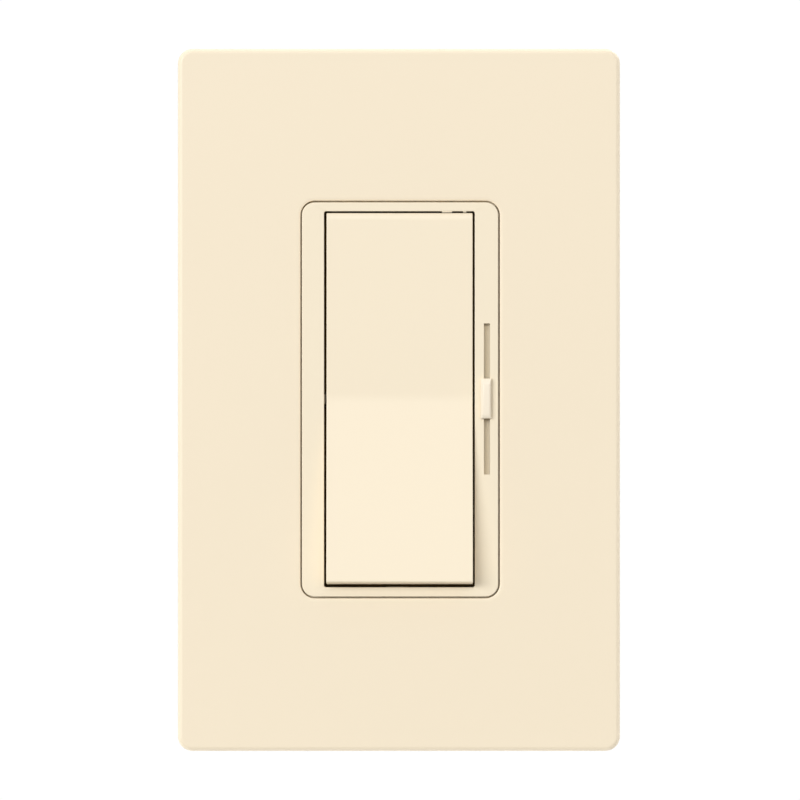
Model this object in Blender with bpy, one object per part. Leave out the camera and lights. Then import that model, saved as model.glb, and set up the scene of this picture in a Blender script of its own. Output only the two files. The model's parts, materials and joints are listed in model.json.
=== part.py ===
"""Wall dimmer with a rocker paddle and a slide control, built as its separate pieces.

Sizes are millimetres until a mesh or curve is made, then metres. X is to the right, Z is up and Y
runs into the wall: the wall's surface is Y = 0, the front of the device faces -Y. Every piece hangs
from the empty device_centre, on the wall plane at the middle of the bezel, and coordinates are
counted from there. The world's origin is on the wall, level with the cover plate's bottom edge.

A "size" is (width, height, corner radius). A "span" is (low, high) along one axis.
"""

from math import cos, pi, radians, sin, tan

import bmesh
import bpy
from mathutils import Matrix, Vector

for old in list(bpy.data.objects):
    bpy.data.objects.remove(old, do_unlink=True)

MILLIMETRE = 0.001
MERGE_DISTANCE = 0.0005
SMOOTH_ANGLE = 35


def grown(size, by):
    """A size with every side moved out by the same amount."""
    width, height, radius = size
    return (width + 2 * by, height + 2 * by, radius + by)


# ---- dimensions shared between pieces -------------------------------------------------------------

# Cover plate
PLATE = (75.0, 119.1, 2.5)
PLATE_MIDDLE = {"x": -0.2, "z": -0.07}
PLATE_DEPTH = 7.6
PLATE_WALL = 2.0
WINDOW = (33.8, 67.4, 2.45)

# Bezel, which fills the cover's window
WINDOW_GAP = 0.3
BEZEL = grown(WINDOW, -WINDOW_GAP)
BEZEL_FRONT, BEZEL_BACK = -7.9, -1.6
HOOK_X, HOOK_Z = (-6.0, 6.0), 32.65

# Moving parts
PIVOT_Y = -2.9
SLOT_X = 14.71
SLIDER_CHANNEL_X = (13.4, 16.0)
KNOB_Z = 0.2
FULCRUM_Y = 8.3

# Screws and rear case
BOX_SCREW_Z, PLATE_SCREW_Z = 41.65, 48.4
CASE_BACK = 30.0
POST_X, POST_Z = 17.9, 28.0
POSTS = [(-POST_X, POST_Z), (POST_X, POST_Z), (-POST_X, -POST_Z), (POST_X, -POST_Z)]

# Circuit board, with the front ends of the soldered legs and the places of the holes (x, z)
BOARD = (39.0, 48.4, 1.0)
BOARD_Y = (12.3, 13.9)
LEG_TIP_Y = 11.4
TRIAC_X, TRIAC_HOLE_Z = -5.0, 27.0
TRIAC_PITCH, TRIAC_LEG_Z = 2.54, 14.2
FILM_LEGS = [(6.0, 16.0), (14.0, 16.0)]
TIMING_LEGS = [(8.0, 5.0), (13.0, 5.0)]
DIAC_LEGS = [(7.4, -2.0), (14.2, -2.0)]
RESISTOR_1_LEGS = [(7.2, -6.5), (15.0, -6.5)]
RESISTOR_2_LEGS = [(7.2, -10.5), (15.0, -10.5)]
CHOKE_LEGS = [(-15.0, -1.2), (-7.6, -1.2)]
TRIAC_LEGS = [(TRIAC_X + side * TRIAC_PITCH, TRIAC_LEG_Z) for side in (-1, 0, 1)]
POT_PINS = [(x, -16.0) for x in (12.4, SLOT_X, 17.0)]
TAIL_PITCH = 9.0
SWITCH_TAIL_Z = (0.0, TAIL_PITCH, -TAIL_PITCH)

# Leads
LEAD_X, LEAD_Z, LEAD_RADIUS = (-9.0, 0.0, 9.0), -22.5, 1.35
GROUND_X, GROUND_Z = -12.5, -40.5


# ---- materials ------------------------------------------------------------------------------------


def material(name, colour, roughness, metallic=0.0):
    made = bpy.data.materials.new(name)
    made.use_nodes = True
    shader = made.node_tree.nodes["Principled BSDF"]
    shader.inputs["Base Color"].default_value = (*colour, 1)
    shader.inputs["Roughness"].default_value = roughness
    shader.inputs["Metallic"].default_value = metallic
    made.diffuse_color = (*colour, 1)
    return made


def metal(name, colour, roughness=0.3):
    return material(name, colour, roughness, metallic=1.0)


def ivory(name, lift=1.0):
    return material(name, colour=(0.93 * lift, 0.81 * lift, 0.62 * lift), roughness=0.32)


def brass(name):
    return metal(name, colour=(0.80, 0.60, 0.28))


def resistor_tan(name):
    return material(name, colour=(0.60, 0.45, 0.28), roughness=0.45)


# ---- objects --------------------------------------------------------------------------------------


def place(name, data, origin, turn, parent):
    """Links an object with its origin in millimetres and a turn about X in radians."""
    made = bpy.data.objects.new(name, data)
    made.location = Vector(origin) * MILLIMETRE
    made.rotation_euler = (turn, 0, 0)
    made.parent = parent
    bpy.context.collection.objects.link(made)
    return made


def empty(name, origin, parent=None):
    made = place(name, None, origin, 0.0, parent)
    made.empty_display_size = 0.01
    return made


device = empty("device_centre", (0, 0, PLATE[1] / 2 - PLATE_MIDDLE["z"]))


def solid(name, look, draw, origin=(0, 0, 0), turn=0.0, parent=None):
    """One object, from a function that draws its mesh in millimetres about its own origin."""
    drawn = bmesh.new()
    draw(drawn)
    bmesh.ops.remove_doubles(drawn, verts=drawn.verts, dist=MERGE_DISTANCE)
    bmesh.ops.recalc_face_normals(drawn, faces=drawn.faces)
    bmesh.ops.transform(drawn, matrix=Matrix.Scale(MILLIMETRE, 4), verts=drawn.verts)
    data = bpy.data.meshes.new(name)
    drawn.to_mesh(data)
    drawn.free()
    if look:
        data.materials.append(look)
        data.shade_smooth()
        data.set_sharp_from_angle(angle=radians(SMOOTH_ANGLE))
    return place(name, data, origin, turn, parent or device)


def boolean(target, name, draw, operation):
    """Adds a boolean modifier whose hidden tool lies in the target's own frame."""
    tool = solid(name, None, draw, parent=target.parent)
    tool.location = target.location
    tool.rotation_euler = target.rotation_euler
    tool.hide_render = True
    tool.display_type = "WIRE"
    tool.hide_set(True)
    step = target.modifiers.new(tool.name, "BOOLEAN")
    step.operation = operation
    step.solver = "EXACT"
    step.object = tool
    return step


def cut(target, name, draw):
    return boolean(target, name, draw, "DIFFERENCE")


def add(target, name, draw):
    return boolean(target, name, draw, "UNION")


def bevel(target, width, segments=2, angle=40):
    step = target.modifiers.new("edge", "BEVEL")
    step.width = width * MILLIMETRE
    step.segments = segments
    step.limit_method = "ANGLE"
    step.angle_limit = radians(angle)
    step.use_clamp_overlap = True


def wire(name, points, radius, look, level=1, turn=0.0, parent=None):
    """A round wire along a run of points, with closed ends."""
    curve = bpy.data.curves.new(name, "CURVE")
    curve.dimensions = "3D"
    curve.bevel_depth = radius * MILLIMETRE
    curve.bevel_resolution = level
    curve.use_fill_caps = True
    line = curve.splines.new("POLY")
    line.points.add(len(points) - 1)
    for spot, (x, y, z) in zip(line.points, points):
        spot.co = (x * MILLIMETRE, y * MILLIMETRE, z * MILLIMETRE, 1)
    curve.materials.append(look)
    place(name, curve, (0, 0, 0), turn, parent or device)


# ---- shapes ---------------------------------------------------------------------------------------


def around(middle, half):
    """The span that reaches the same way to both sides of a middle."""
    return (middle - half, middle + half)


def beyond(side, near, far):
    """The span from near to far on the side given by its sign."""
    return tuple(sorted((side * near, side * far)))


def inset(span, by):
    return (span[0] + by, span[1] - by)


def rounded(width, height, radius, steps=4, x=0.0, z=0.0):
    """A rectangle with round corners in the XZ plane, anticlockwise seen along +Y."""
    points = []
    for side_x, side_z, start in ((1, 1, 0), (-1, 1, 90), (-1, -1, 180), (1, -1, 270)):
        for i in range(steps + 1):
            angle = radians(start + 90 * i / steps)
            points.append(
                (
                    x + side_x * (width / 2 - radius) + radius * cos(angle),
                    z + side_z * (height / 2 - radius) + radius * sin(angle),
                )
            )
    return points


def ring(y, width, height, radius, steps=4, x=0.0, z=0.0):
    """A rounded rectangle at one depth."""
    return [(u, y, v) for u, v in rounded(width, height, radius, steps, x, z)]


def square_ring(y, x_span, z_span):
    """A sharp rectangle at one depth."""
    (left, right), (bottom, top) = x_span, z_span
    return [(right, y, top), (left, y, top), (left, y, bottom), (right, y, bottom)]


def arc_steps(radius, steps):
    """Inset and rise of a quarter round, from the side wall to the face."""
    angles = [pi / 2 * i / steps for i in range(steps + 1)]
    return [(radius * (1 - cos(angle)), radius * sin(angle)) for angle in angles]


def leaf(points, thickness):
    """A bent strip's outline from its middle line, with constant thickness."""
    upper, lower = [], []
    for i, point in enumerate(points):
        before = Vector(points[max(i - 1, 0)])
        after = Vector(points[min(i + 1, len(points) - 1)])
        way = (after - before).normalized()
        offset = Vector((-way.y, way.x)) * thickness / 2
        upper.append(tuple(Vector(point) + offset))
        lower.append(tuple(Vector(point) - offset))
    return upper + lower[::-1]


def loft(mesh, rings, closed=False):
    """Skins rings with equal numbers of points, and caps both ends unless it closes on itself."""
    rows = [[mesh.verts.new(point) for point in points] for points in rings]
    count = len(rows[0])
    pairs = list(zip(rows, rows[1:]))
    if closed:
        pairs.append((rows[-1], rows[0]))
    for near, far in pairs:
        for i in range(count):
            j = (i + 1) % count
            mesh.faces.new((near[i], near[j], far[j], far[i]))
    if not closed:
        mesh.faces.new(rows[0][::-1])
        mesh.faces.new(rows[-1])


def box(mesh, x_span, y_span, z_span):
    spans = (x_span, y_span, z_span)
    made = bmesh.ops.create_cube(mesh, size=1)
    bmesh.ops.scale(mesh, vec=[high - low for low, high in spans], verts=made["verts"])
    bmesh.ops.translate(
        mesh, vec=[(low + high) / 2 for low, high in spans], verts=made["verts"]
    )


def extruded(mesh, outline, span, axis="Y"):
    """A flat outline swept over a span: (x, z) points along Y, or (y, z) points along X."""
    start, end = span
    if axis == "Y":
        points = [mesh.verts.new((u, start, v)) for u, v in outline]
        way = Vector((0, end - start, 0))
    else:
        points = [mesh.verts.new((start, u, v)) for u, v in outline]
        way = Vector((end - start, 0, 0))
    face = mesh.faces.new(points)
    out = bmesh.ops.extrude_face_region(mesh, geom=[face], use_keep_orig=True)
    moved = [item for item in out["geom"] if isinstance(item, bmesh.types.BMVert)]
    bmesh.ops.translate(mesh, vec=way, verts=moved)


# The line of each axis, and the direction of a ring's first point
AXES = {
    "X": (Vector((1, 0, 0)), Vector((0, 0, 1))),
    "Y": (Vector((0, 1, 0)), Vector((1, 0, 0))),
}


def turned(mesh, profile, centre=(0, 0, 0), axis="Y", steps=20):
    """A solid of revolution: profile is (radius, distance along the axis), with flat ends."""
    line, out = AXES[axis]
    centre = Vector(centre)
    across = line.cross(out)
    angles = [2 * pi * i / steps for i in range(steps)]
    rings = []
    for radius, along in profile:
        middle = centre + line * along
        rings.append([middle + (out * cos(a) + across * sin(a)) * radius for a in angles])
    loft(mesh, rings)


def cylinder(mesh, radius, span, centre=(0, 0, 0), axis="Y", steps=20):
    turned(mesh, [(radius, span[0]), (radius, span[1])], centre, axis, steps)


def pins(mesh, spots, span, radius, steps=6):
    """A cylinder along Y at each (x, z) spot."""
    for x, z in spots:
        cylinder(mesh, radius, span, (x, 0, z), steps=steps)


# ---- cover plate ----------------------------------------------------------------------------------

PLATE_EDGE_RADIUS = 0.85
PLATE_INNER = (PLATE[0] - 2 * PLATE_WALL, PLATE[1] - 2 * PLATE_WALL, 0.8)
PLATE_INNER_FRONT = -5.5
WINDOW_LIP = 0.7
COVER_ARC_STEPS = 3
CLIP_Z, CLIP_Y = 32.0, (-1.3, -0.4)
CLIP_ROOT, CLIP_ROOT_HALF = 0.4, 4
CLIP_REACH, CLIP_TIP_HALF = 0.8, 3


def draw_cover(mesh):
    rings = [ring(0, *PLATE_INNER, **PLATE_MIDDLE), ring(0, *PLATE, **PLATE_MIDDLE)]
    for step, rise in arc_steps(PLATE_EDGE_RADIUS, COVER_ARC_STEPS):
        y = -(PLATE_DEPTH - PLATE_EDGE_RADIUS) - rise
        rings.append(ring(y, *grown(PLATE, -step), **PLATE_MIDDLE))
    for step, rise in reversed(arc_steps(WINDOW_LIP, COVER_ARC_STEPS)):
        rings.append(ring(-(PLATE_DEPTH - WINDOW_LIP) - rise, *grown(WINDOW, step)))
    rings.append(ring(PLATE_INNER_FRONT, *WINDOW))
    rings.append(ring(PLATE_INNER_FRONT, *PLATE_INNER, **PLATE_MIDDLE))
    loft(mesh, rings, closed=True)


def draw_clips(mesh):
    """Four wedges on the inner walls that catch behind the adapter's edge."""
    for side in (-1, 1):
        wall = PLATE_MIDDLE["x"] + side * PLATE_INNER[0] / 2
        root = wall + side * CLIP_ROOT
        tip = wall - side * CLIP_REACH
        for z in (-CLIP_Z, CLIP_Z):
            outline = [
                (root, z - CLIP_ROOT_HALF),
                (root, z + CLIP_ROOT_HALF),
                (tip, z + CLIP_TIP_HALF),
                (tip, z - CLIP_TIP_HALF),
            ]
            extruded(mesh, outline, CLIP_Y)


def make_cover():
    cover = solid("cover_plate", ivory("cover_ivory"), draw_cover)
    add(cover, "cover_clips", draw_clips)


# ---- adapter plate --------------------------------------------------------------------------------

ADAPTER = (70.0, 114.0, 2.0)
ADAPTER_Y = (-3.4, -1.6)
ADAPTER_EDGE = 0.25
ADAPTER_CUT_Y = (-5, 0)
ADAPTER_WINDOW = (34.2, 67.8, 2.6)
COUNTERSINK = [(3.1, -5), (3.1, -3.35), (1.85, -2.1), (1.85, 0)]  # (radius, y)
NOTCH_HALF, NOTCH_Z = 5.6, (32.0, 44.95)


def draw_adapter_cuts(mesh):
    extruded(mesh, rounded(*ADAPTER_WINDOW), ADAPTER_CUT_Y)
    for z in (-PLATE_SCREW_Z, PLATE_SCREW_Z):
        turned(mesh, COUNTERSINK, (0, 0, z))


def draw_adapter_notches(mesh):
    """Room for the box screws' heads, open towards the window."""
    for side in (-1, 1):
        box(mesh, around(0, NOTCH_HALF), ADAPTER_CUT_Y, beyond(side, *NOTCH_Z))


def make_adapter():
    adapter = solid(
        "adapter_plate",
        material("adapter_white", colour=(0.86, 0.85, 0.82), roughness=0.5),
        lambda mesh: extruded(mesh, rounded(*ADAPTER, **PLATE_MIDDLE), ADAPTER_Y),
    )
    bevel(adapter, ADAPTER_EDGE, segments=1)
    cut(adapter, "adapter_cuts", draw_adapter_cuts)
    cut(adapter, "adapter_notches", draw_adapter_notches)


# ---- screws of the plate and the wall box ---------------------------------------------------------

SCREW_SLOT_HALF, SCREW_SLOT_DEPTH = 0.45, 0.35
SCREW_POINT = 0.8
SCREW_CUT_MARGIN = 1
RETAINER, RETAINER_Y = (8.6, 8.6, 0.8), (0.3, 0.9)
RETAINER_HOLE_RADIUS = 1.85


def make_screw(name, z, look, head_radius, rim, under, shaft_radius, tip, dome, countersunk):
    """A slotted screw along Y: rim is the front of the head's edge, under the head's underside."""
    if countersunk:
        neck = [(head_radius, rim + 0.2), (shaft_radius * 1.05, under)]
    else:
        neck = [(head_radius, (rim + under) / 2), (head_radius, under)]
    profile = [
        (head_radius * 0.45, rim - dome),
        (head_radius * 0.8, rim - dome * 0.7),
        (head_radius, rim),
        *neck,
        (shaft_radius, under + 0.05),
        (shaft_radius, tip - SCREW_POINT),
        (shaft_radius * 0.7, tip),
    ]
    made = solid(name, look, lambda mesh: turned(mesh, profile), origin=(0, 0, z))

    def draw_slot(mesh):
        box(
            mesh,
            around(0, head_radius + SCREW_CUT_MARGIN),
            (rim - dome - SCREW_CUT_MARGIN, rim + SCREW_SLOT_DEPTH),
            around(0, SCREW_SLOT_HALF),
        )

    cut(made, name + "_slot", draw_slot)


def make_adapter_screw(end, z):
    look = material(
        "screw_ivory_" + end, colour=(0.80, 0.76, 0.68), roughness=0.4, metallic=0.4
    )
    make_screw(
        "adapter_screw_" + end, z, look, head_radius=2.85, rim=-3.45, under=-1.9,
        shaft_radius=1.6, tip=7.5, dome=0.4, countersunk=True,
    )


def make_box_screw(end, z, look):
    make_screw(
        "box_screw_" + end, z, look, head_radius=3.05, rim=-2.6, under=-1.6,
        shaft_radius=1.65, tip=17.0, dome=0.75, countersunk=False,
    )


def make_retainer(end, z):
    """A small square washer behind the yoke, on the box screw."""
    retainer = solid(
        "screw_retainer_" + end,
        material("fibre_" + end, colour=(0.36, 0.24, 0.15), roughness=0.85),
        lambda mesh: extruded(mesh, rounded(*RETAINER, steps=2, z=z), RETAINER_Y),
    )
    cut(
        retainer,
        "retainer_hole_" + end,
        lambda mesh: cylinder(mesh, RETAINER_HOLE_RADIUS, (-1, 2), (0, 0, z), steps=16),
    )


def make_screws():
    steel = metal("zinc_steel", colour=(0.62, 0.62, 0.63), roughness=0.32)
    for end, side in (("top", 1), ("bottom", -1)):
        make_adapter_screw(end, side * PLATE_SCREW_Z)
        make_box_screw(end, side * BOX_SCREW_Z, steel)
        make_retainer(end, side * BOX_SCREW_Z)


# ---- bezel ----------------------------------------------------------------------------------------

FLANGE, FLANGE_FRONT = 0.2, -5.2
BEZEL_EDGE_RADIUS, BEZEL_ARC_STEPS = 0.45, 2
GAP_X, GAP_Z = (-12.88, 12.65), (-31.80, 31.90)
GAP_SIZE = (GAP_X[1] - GAP_X[0], GAP_Z[1] - GAP_Z[0], 0.4)
GAP_MIDDLE = {"x": sum(GAP_X) / 2, "z": sum(GAP_Z) / 2}
GAP_CHAMFER = 0.2
HOOK_HALF_WIDTH, HOOK_HALF_HEIGHT = 2.5, 0.5
HOOK_Y = (BEZEL_BACK - 1.0, 1.2)
# Channels in the back of the side rails, right and left: x span, cover left in front, half height
CHANNELS = [(SLIDER_CHANNEL_X, 1.0, 32.8), ((-16.0, -13.60), 1.3, 32.0)]
SLOT_WIDTH, SLOT_Z = 1.03, (-12.7, 12.9)
SOCKET_RADIUS = 1.42
SOCKET_SPANS = [(-13.25, -12.2), (12.2, 13.22)]


def draw_bezel(mesh):
    """A thin flange behind the cover's window, then the body that fills it."""
    flange = grown(BEZEL, FLANGE)
    rings = [
        ring(BEZEL_BACK, *flange),
        ring(FLANGE_FRONT, *flange),
        ring(FLANGE_FRONT, *BEZEL),
    ]
    for step, rise in arc_steps(BEZEL_EDGE_RADIUS, BEZEL_ARC_STEPS):
        rings.append(ring(BEZEL_FRONT + BEZEL_EDGE_RADIUS - rise, *grown(BEZEL, -step)))
    rings.append(ring(BEZEL_FRONT, *grown(GAP_SIZE, GAP_CHAMFER), **GAP_MIDDLE))
    rings.append(ring(BEZEL_FRONT + GAP_CHAMFER, *GAP_SIZE, **GAP_MIDDLE))
    rings.append(ring(BEZEL_BACK, *GAP_SIZE, **GAP_MIDDLE))
    loft(mesh, rings, closed=True)


def draw_hooks(mesh):
    """Four hooks that reach through the yoke."""
    for x in HOOK_X:
        for z in (-HOOK_Z, HOOK_Z):
            box(mesh, around(x, HOOK_HALF_WIDTH), HOOK_Y, around(z, HOOK_HALF_HEIGHT))


def draw_channels(mesh):
    for x_span, front_wall, half_height in CHANNELS:
        box(mesh, x_span, (BEZEL_FRONT + front_wall, 0), around(0, half_height))


def draw_bezel_cuts(mesh):
    """The slider's slot, and the sockets for the paddle's trunnions."""
    box(mesh, around(SLOT_X, SLOT_WIDTH / 2), (BEZEL_FRONT - 1, BEZEL_FRONT + 2), SLOT_Z)
    for span in SOCKET_SPANS:
        cylinder(mesh, SOCKET_RADIUS, span, (0, PIVOT_Y, 0), "X")


def make_bezel():
    bezel = solid("bezel", ivory("bezel_ivory"), draw_bezel)
    add(bezel, "bezel_hooks", draw_hooks)
    cut(bezel, "bezel_channels", draw_channels)
    cut(bezel, "bezel_cuts", draw_bezel_cuts)


# ---- paddle, plunger and spring, on the paddle's pivot --------------------------------------------

FACE = 5.0  # from the pivot to the flat, measured square to it
PADDLE_HALF = 31.3
ROCK = radians(3.2)
REST = -ROCK
CREASE_Y = -(FACE / cos(ROCK))
CREASE_HALF, CREASE_STEPS = 1.35, 8
PADDLE_X = (-12.47, 12.30)
SKIRT, SHELL = 5.9, 1.3
SWELL, SWELL_BACK = 0.17, 3.5
PADDLE_EDGE = 0.45
HOLLOW_BACK = 4
TRUNNION_RADIUS = 1.3
TRUNNION_SPANS = [(-13.05, -10.9), (10.8, 13.05)]
PADDLE_POST_RADIUS, PADDLE_POST_Y = 3.0, (-4.2, 6.5)
RIB_HALF, RIB_Z, RIB_Y, RIB_INSET = 0.5, 16.0, (-5.6, -2.2), 0.6
LONG_RIB_Y, LONG_RIB_HALF_HEIGHT = (-4.6, -2.0), 17
BORE_RADIUS, BORE_Y = 1.95, (-2.4, 8)
# (radius, y)
PLUNGER_PROFILE = [
    (1.05, 3.4), (1.7, 3.6), (1.7, 8.6), (1.5, 9.3), (1.05, 9.8), (0.45, 10.05),
]
SPRING_TURNS, SPRING_TURN_STEPS = 6, 8
SPRING_RADIUS, SPRING_WIRE_RADIUS = 1.35, 0.2
SPRING_FRONT, SPRING_LENGTH = -2.05, 5.15


def paddle_front():
    """The front line (y, z) in the middle pose, bottom to top: two flats with a short blend."""
    slope = tan(ROCK)
    end_y = CREASE_Y - slope * PADDLE_HALF
    line = [(end_y, -PADDLE_HALF)]
    for i in range(CREASE_STEPS + 1):
        z = -CREASE_HALF + 2 * CREASE_HALF * i / CREASE_STEPS
        line.append((CREASE_Y - slope * (z * z + CREASE_HALF**2) / (2 * CREASE_HALF), z))
    line.append((end_y, PADDLE_HALF))
    return line


def draw_paddle(mesh):
    front = paddle_front()
    back = [
        (y + SKIRT * cos(ROCK), z - SKIRT * sin(ROCK) * z / PADDLE_HALF)
        for y, z in reversed(front)
    ]
    # each end swells a little where it passes the bezel, so the gap stays small in every pose
    swell_y = front[0][0] + SWELL_BACK
    swell_z = PADDLE_HALF + SWELL
    outline = front + [(swell_y, swell_z)] + back + [(swell_y, -swell_z)]
    extruded(mesh, outline, PADDLE_X, "X")


def draw_paddle_hollow(mesh):
    limit = PADDLE_HALF - SHELL
    outline = []
    for _, z in paddle_front():
        z = max(-limit, min(limit, z))
        outline.append((CREASE_Y - tan(ROCK) * abs(z) + SHELL, z))
    outline += [(HOLLOW_BACK, limit), (HOLLOW_BACK, -limit)]
    extruded(mesh, outline, inset(PADDLE_X, SHELL), "X")


def draw_paddle_inside(mesh):
    """The trunnions on both sides, and the post that carries the plunger."""
    for span in TRUNNION_SPANS:
        cylinder(mesh, TRUNNION_RADIUS, span, axis="X")
    cylinder(mesh, PADDLE_POST_RADIUS, PADDLE_POST_Y)


def draw_paddle_ribs(mesh):
    """Two thin ribs from side wall to side wall."""
    for z in (-RIB_Z, RIB_Z):
        box(mesh, inset(PADDLE_X, RIB_INSET), RIB_Y, around(z, RIB_HALF))


def draw_long_rib(mesh):
    box(mesh, around(0, RIB_HALF), LONG_RIB_Y, around(0, LONG_RIB_HALF_HEIGHT))


def make_paddle(pivot):
    paddle = solid(
        "paddle", ivory("paddle_ivory", lift=1.03), draw_paddle, turn=REST, parent=pivot
    )
    bevel(paddle, PADDLE_EDGE, angle=50)
    cut(paddle, "paddle_hollow", draw_paddle_hollow)
    add(paddle, "paddle_inside", draw_paddle_inside)
    add(paddle, "paddle_ribs", draw_paddle_ribs)
    add(paddle, "paddle_long_rib", draw_long_rib)
    cut(paddle, "paddle_bore", lambda mesh: cylinder(mesh, BORE_RADIUS, BORE_Y))


def make_plunger(pivot):
    solid(
        "plunger",
        material("plunger_acetal", colour=(0.75, 0.75, 0.72), roughness=0.4),
        lambda mesh: turned(mesh, PLUNGER_PROFILE, steps=16),
        turn=REST,
        parent=pivot,
    )


def make_spring(pivot):
    count = SPRING_TURNS * SPRING_TURN_STEPS
    points = []
    for i in range(count + 1):
        angle = 2 * pi * i / SPRING_TURN_STEPS
        y = SPRING_FRONT + SPRING_LENGTH * i / count
        points.append((SPRING_RADIUS * cos(angle), y, SPRING_RADIUS * sin(angle)))
    look = metal("spring_steel", colour=(0.5, 0.5, 0.52))
    wire("plunger_spring", points, SPRING_WIRE_RADIUS, look, level=0, turn=REST, parent=pivot)


# ---- slider: knob and carrier ---------------------------------------------------------------------

KNOB_HALF_WIDTH, KNOB_HALF_HEIGHT = 1.94 / 2, 6.85 / 2
KNOB_X = -0.10  # the cap's middle from the slot's
KNOB_BACK = BEZEL_FRONT - 0.12
KNOB_SIDE, KNOB_RISE = 0.55, 0.95
KNOB_EDGE = 0.12
STEM_X, STEM_Z, STEM_BACK = around(0, 0.25), around(0, 1.0), -5.0
NECK_X, NECK_Z, NECK_BACK = around(0, 0.36), around(0, 2.9), -6.85
CAP_X, CAP_Z = around(KNOB_X, KNOB_HALF_WIDTH), around(0, KNOB_HALF_HEIGHT)
CAP_FACE_X = (CAP_X[0] + 0.4, CAP_X[1] - 0.34)
CAP_FACE_Z = (CAP_Z[0] + 0.6, CAP_Z[1] - 1.05)
# y, x span, z span, from the back to the front face
KNOB_STATIONS = [
    (STEM_BACK, STEM_X, STEM_Z),
    (NECK_BACK, STEM_X, STEM_Z),
    (NECK_BACK, NECK_X, NECK_Z),
    (KNOB_BACK, NECK_X, NECK_Z),
    (KNOB_BACK, CAP_X, CAP_Z),
    (KNOB_BACK - KNOB_SIDE, CAP_X, CAP_Z),
    (KNOB_BACK - KNOB_RISE, CAP_FACE_X, CAP_FACE_Z),
]
CARRIER, CARRIER_Y = (2.2, 45.2, 0.5), (-6.7, -5.5)
FORK_HALF_WIDTH, FORK_Y, FORK_Z = 1.0, (-6.0, -1.9), (1.25, 2.75)
CARRIER_HOLE = (around(0, 0.4), (-8, -4), around(0, 1.15))


def draw_stations(mesh, stations):
    loft(mesh, [square_ring(*station) for station in stations])


def make_knob(slide):
    look = ivory("knob_ivory", lift=1.03)
    knob = solid(
        "slider_knob", look, lambda mesh: draw_stations(mesh, KNOB_STATIONS), parent=slide
    )
    bevel(knob, KNOB_EDGE, segments=1, angle=25)


def draw_fork(mesh):
    """Two prongs behind the carrier, above and below the potentiometer's lever."""
    for side in (-1, 1):
        box(mesh, around(0, FORK_HALF_WIDTH), FORK_Y, beyond(side, *FORK_Z))


def make_carrier(slide):
    carrier = solid(
        "slider_carrier",
        material("carrier_beige", colour=(0.62, 0.54, 0.40), roughness=0.5),
        lambda mesh: extruded(mesh, rounded(*CARRIER, steps=3), CARRIER_Y),
        parent=slide,
    )
    add(carrier, "carrier_fork", draw_fork)
    cut(carrier, "carrier_hole", lambda mesh: box(mesh, *CARRIER_HOLE))


# ---- slide potentiometer --------------------------------------------------------------------------

# y, x span, z span: a tapered tip, the stem, then a wide foot
LEVER_STATIONS = [
    (-3.2, around(0, 0.6), around(0, 0.9)),
    (-2.9, around(0, 0.7), around(0, 1.0)),
    (3.2, around(0, 0.7), around(0, 1.0)),
    (3.2, around(0, 3.1), around(0, 2.6)),
    (5.5, around(0, 3.1), around(0, 2.6)),
]
# (y, z) along the middle of the strip
WIPER_LINE = [(6.75, -3.0), (6.6, -2.4), (5.85, -1.6), (5.85, 1.6), (6.6, 2.4), (6.75, 3.0)]
WIPER_THICKNESS, WIPER_HALF_WIDTH = 0.2, 2.2
CAN, CAN_Y, CAN_WALL = (8.6, 38.0, 0.6), (2.0, 8.0), 0.5
CAN_SLOT = (around(SLOT_X, 1.1), (1, 4), around(0, 11.8))
ELEMENT = (around(SLOT_X, 3.5), (7.1, 7.8), around(0, 18.2))
POT_PIN_RADIUS, POT_PIN_Y = 0.35, (7.4, 15.0)


def make_pot_lever(slide):
    solid(
        "pot_lever",
        material("lever_black", colour=(0.05, 0.05, 0.05), roughness=0.45),
        lambda mesh: draw_stations(mesh, LEVER_STATIONS),
        parent=slide,
    )


def make_pot_wiper(slide):
    outline = leaf(WIPER_LINE, WIPER_THICKNESS)
    solid(
        "pot_wiper",
        metal("wiper_bronze", colour=(0.72, 0.48, 0.26)),
        lambda mesh: extruded(mesh, outline, around(0, WIPER_HALF_WIDTH), "X"),
        parent=slide,
    )


def draw_can_hollow(mesh):
    """Leaves the back open."""
    box(
        mesh,
        around(SLOT_X, CAN[0] / 2 - CAN_WALL),
        (CAN_Y[0] + CAN_WALL, CAN_Y[1] + 1),
        around(0, CAN[1] / 2 - CAN_WALL),
    )


def make_pot_housing():
    can = solid(
        "pot_housing",
        metal("can_steel", colour=(0.66, 0.66, 0.66), roughness=0.35),
        lambda mesh: extruded(mesh, rounded(*CAN, steps=2, x=SLOT_X), CAN_Y),
    )
    # the slot and the hollow meet, so they are cut one after the other
    cut(can, "can_hollow", draw_can_hollow)
    cut(can, "can_slot", lambda mesh: box(mesh, *CAN_SLOT))


def make_pot_element():
    element = solid(
        "pot_element",
        material("track_phenolic", colour=(0.20, 0.12, 0.07), roughness=0.6),
        lambda mesh: box(mesh, *ELEMENT),
    )
    add(element, "element_pins", lambda mesh: pins(mesh, POT_PINS, POT_PIN_Y, POT_PIN_RADIUS))


# ---- yoke -----------------------------------------------------------------------------------------

YOKE_Y = (-1.3, 0.0)
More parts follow.
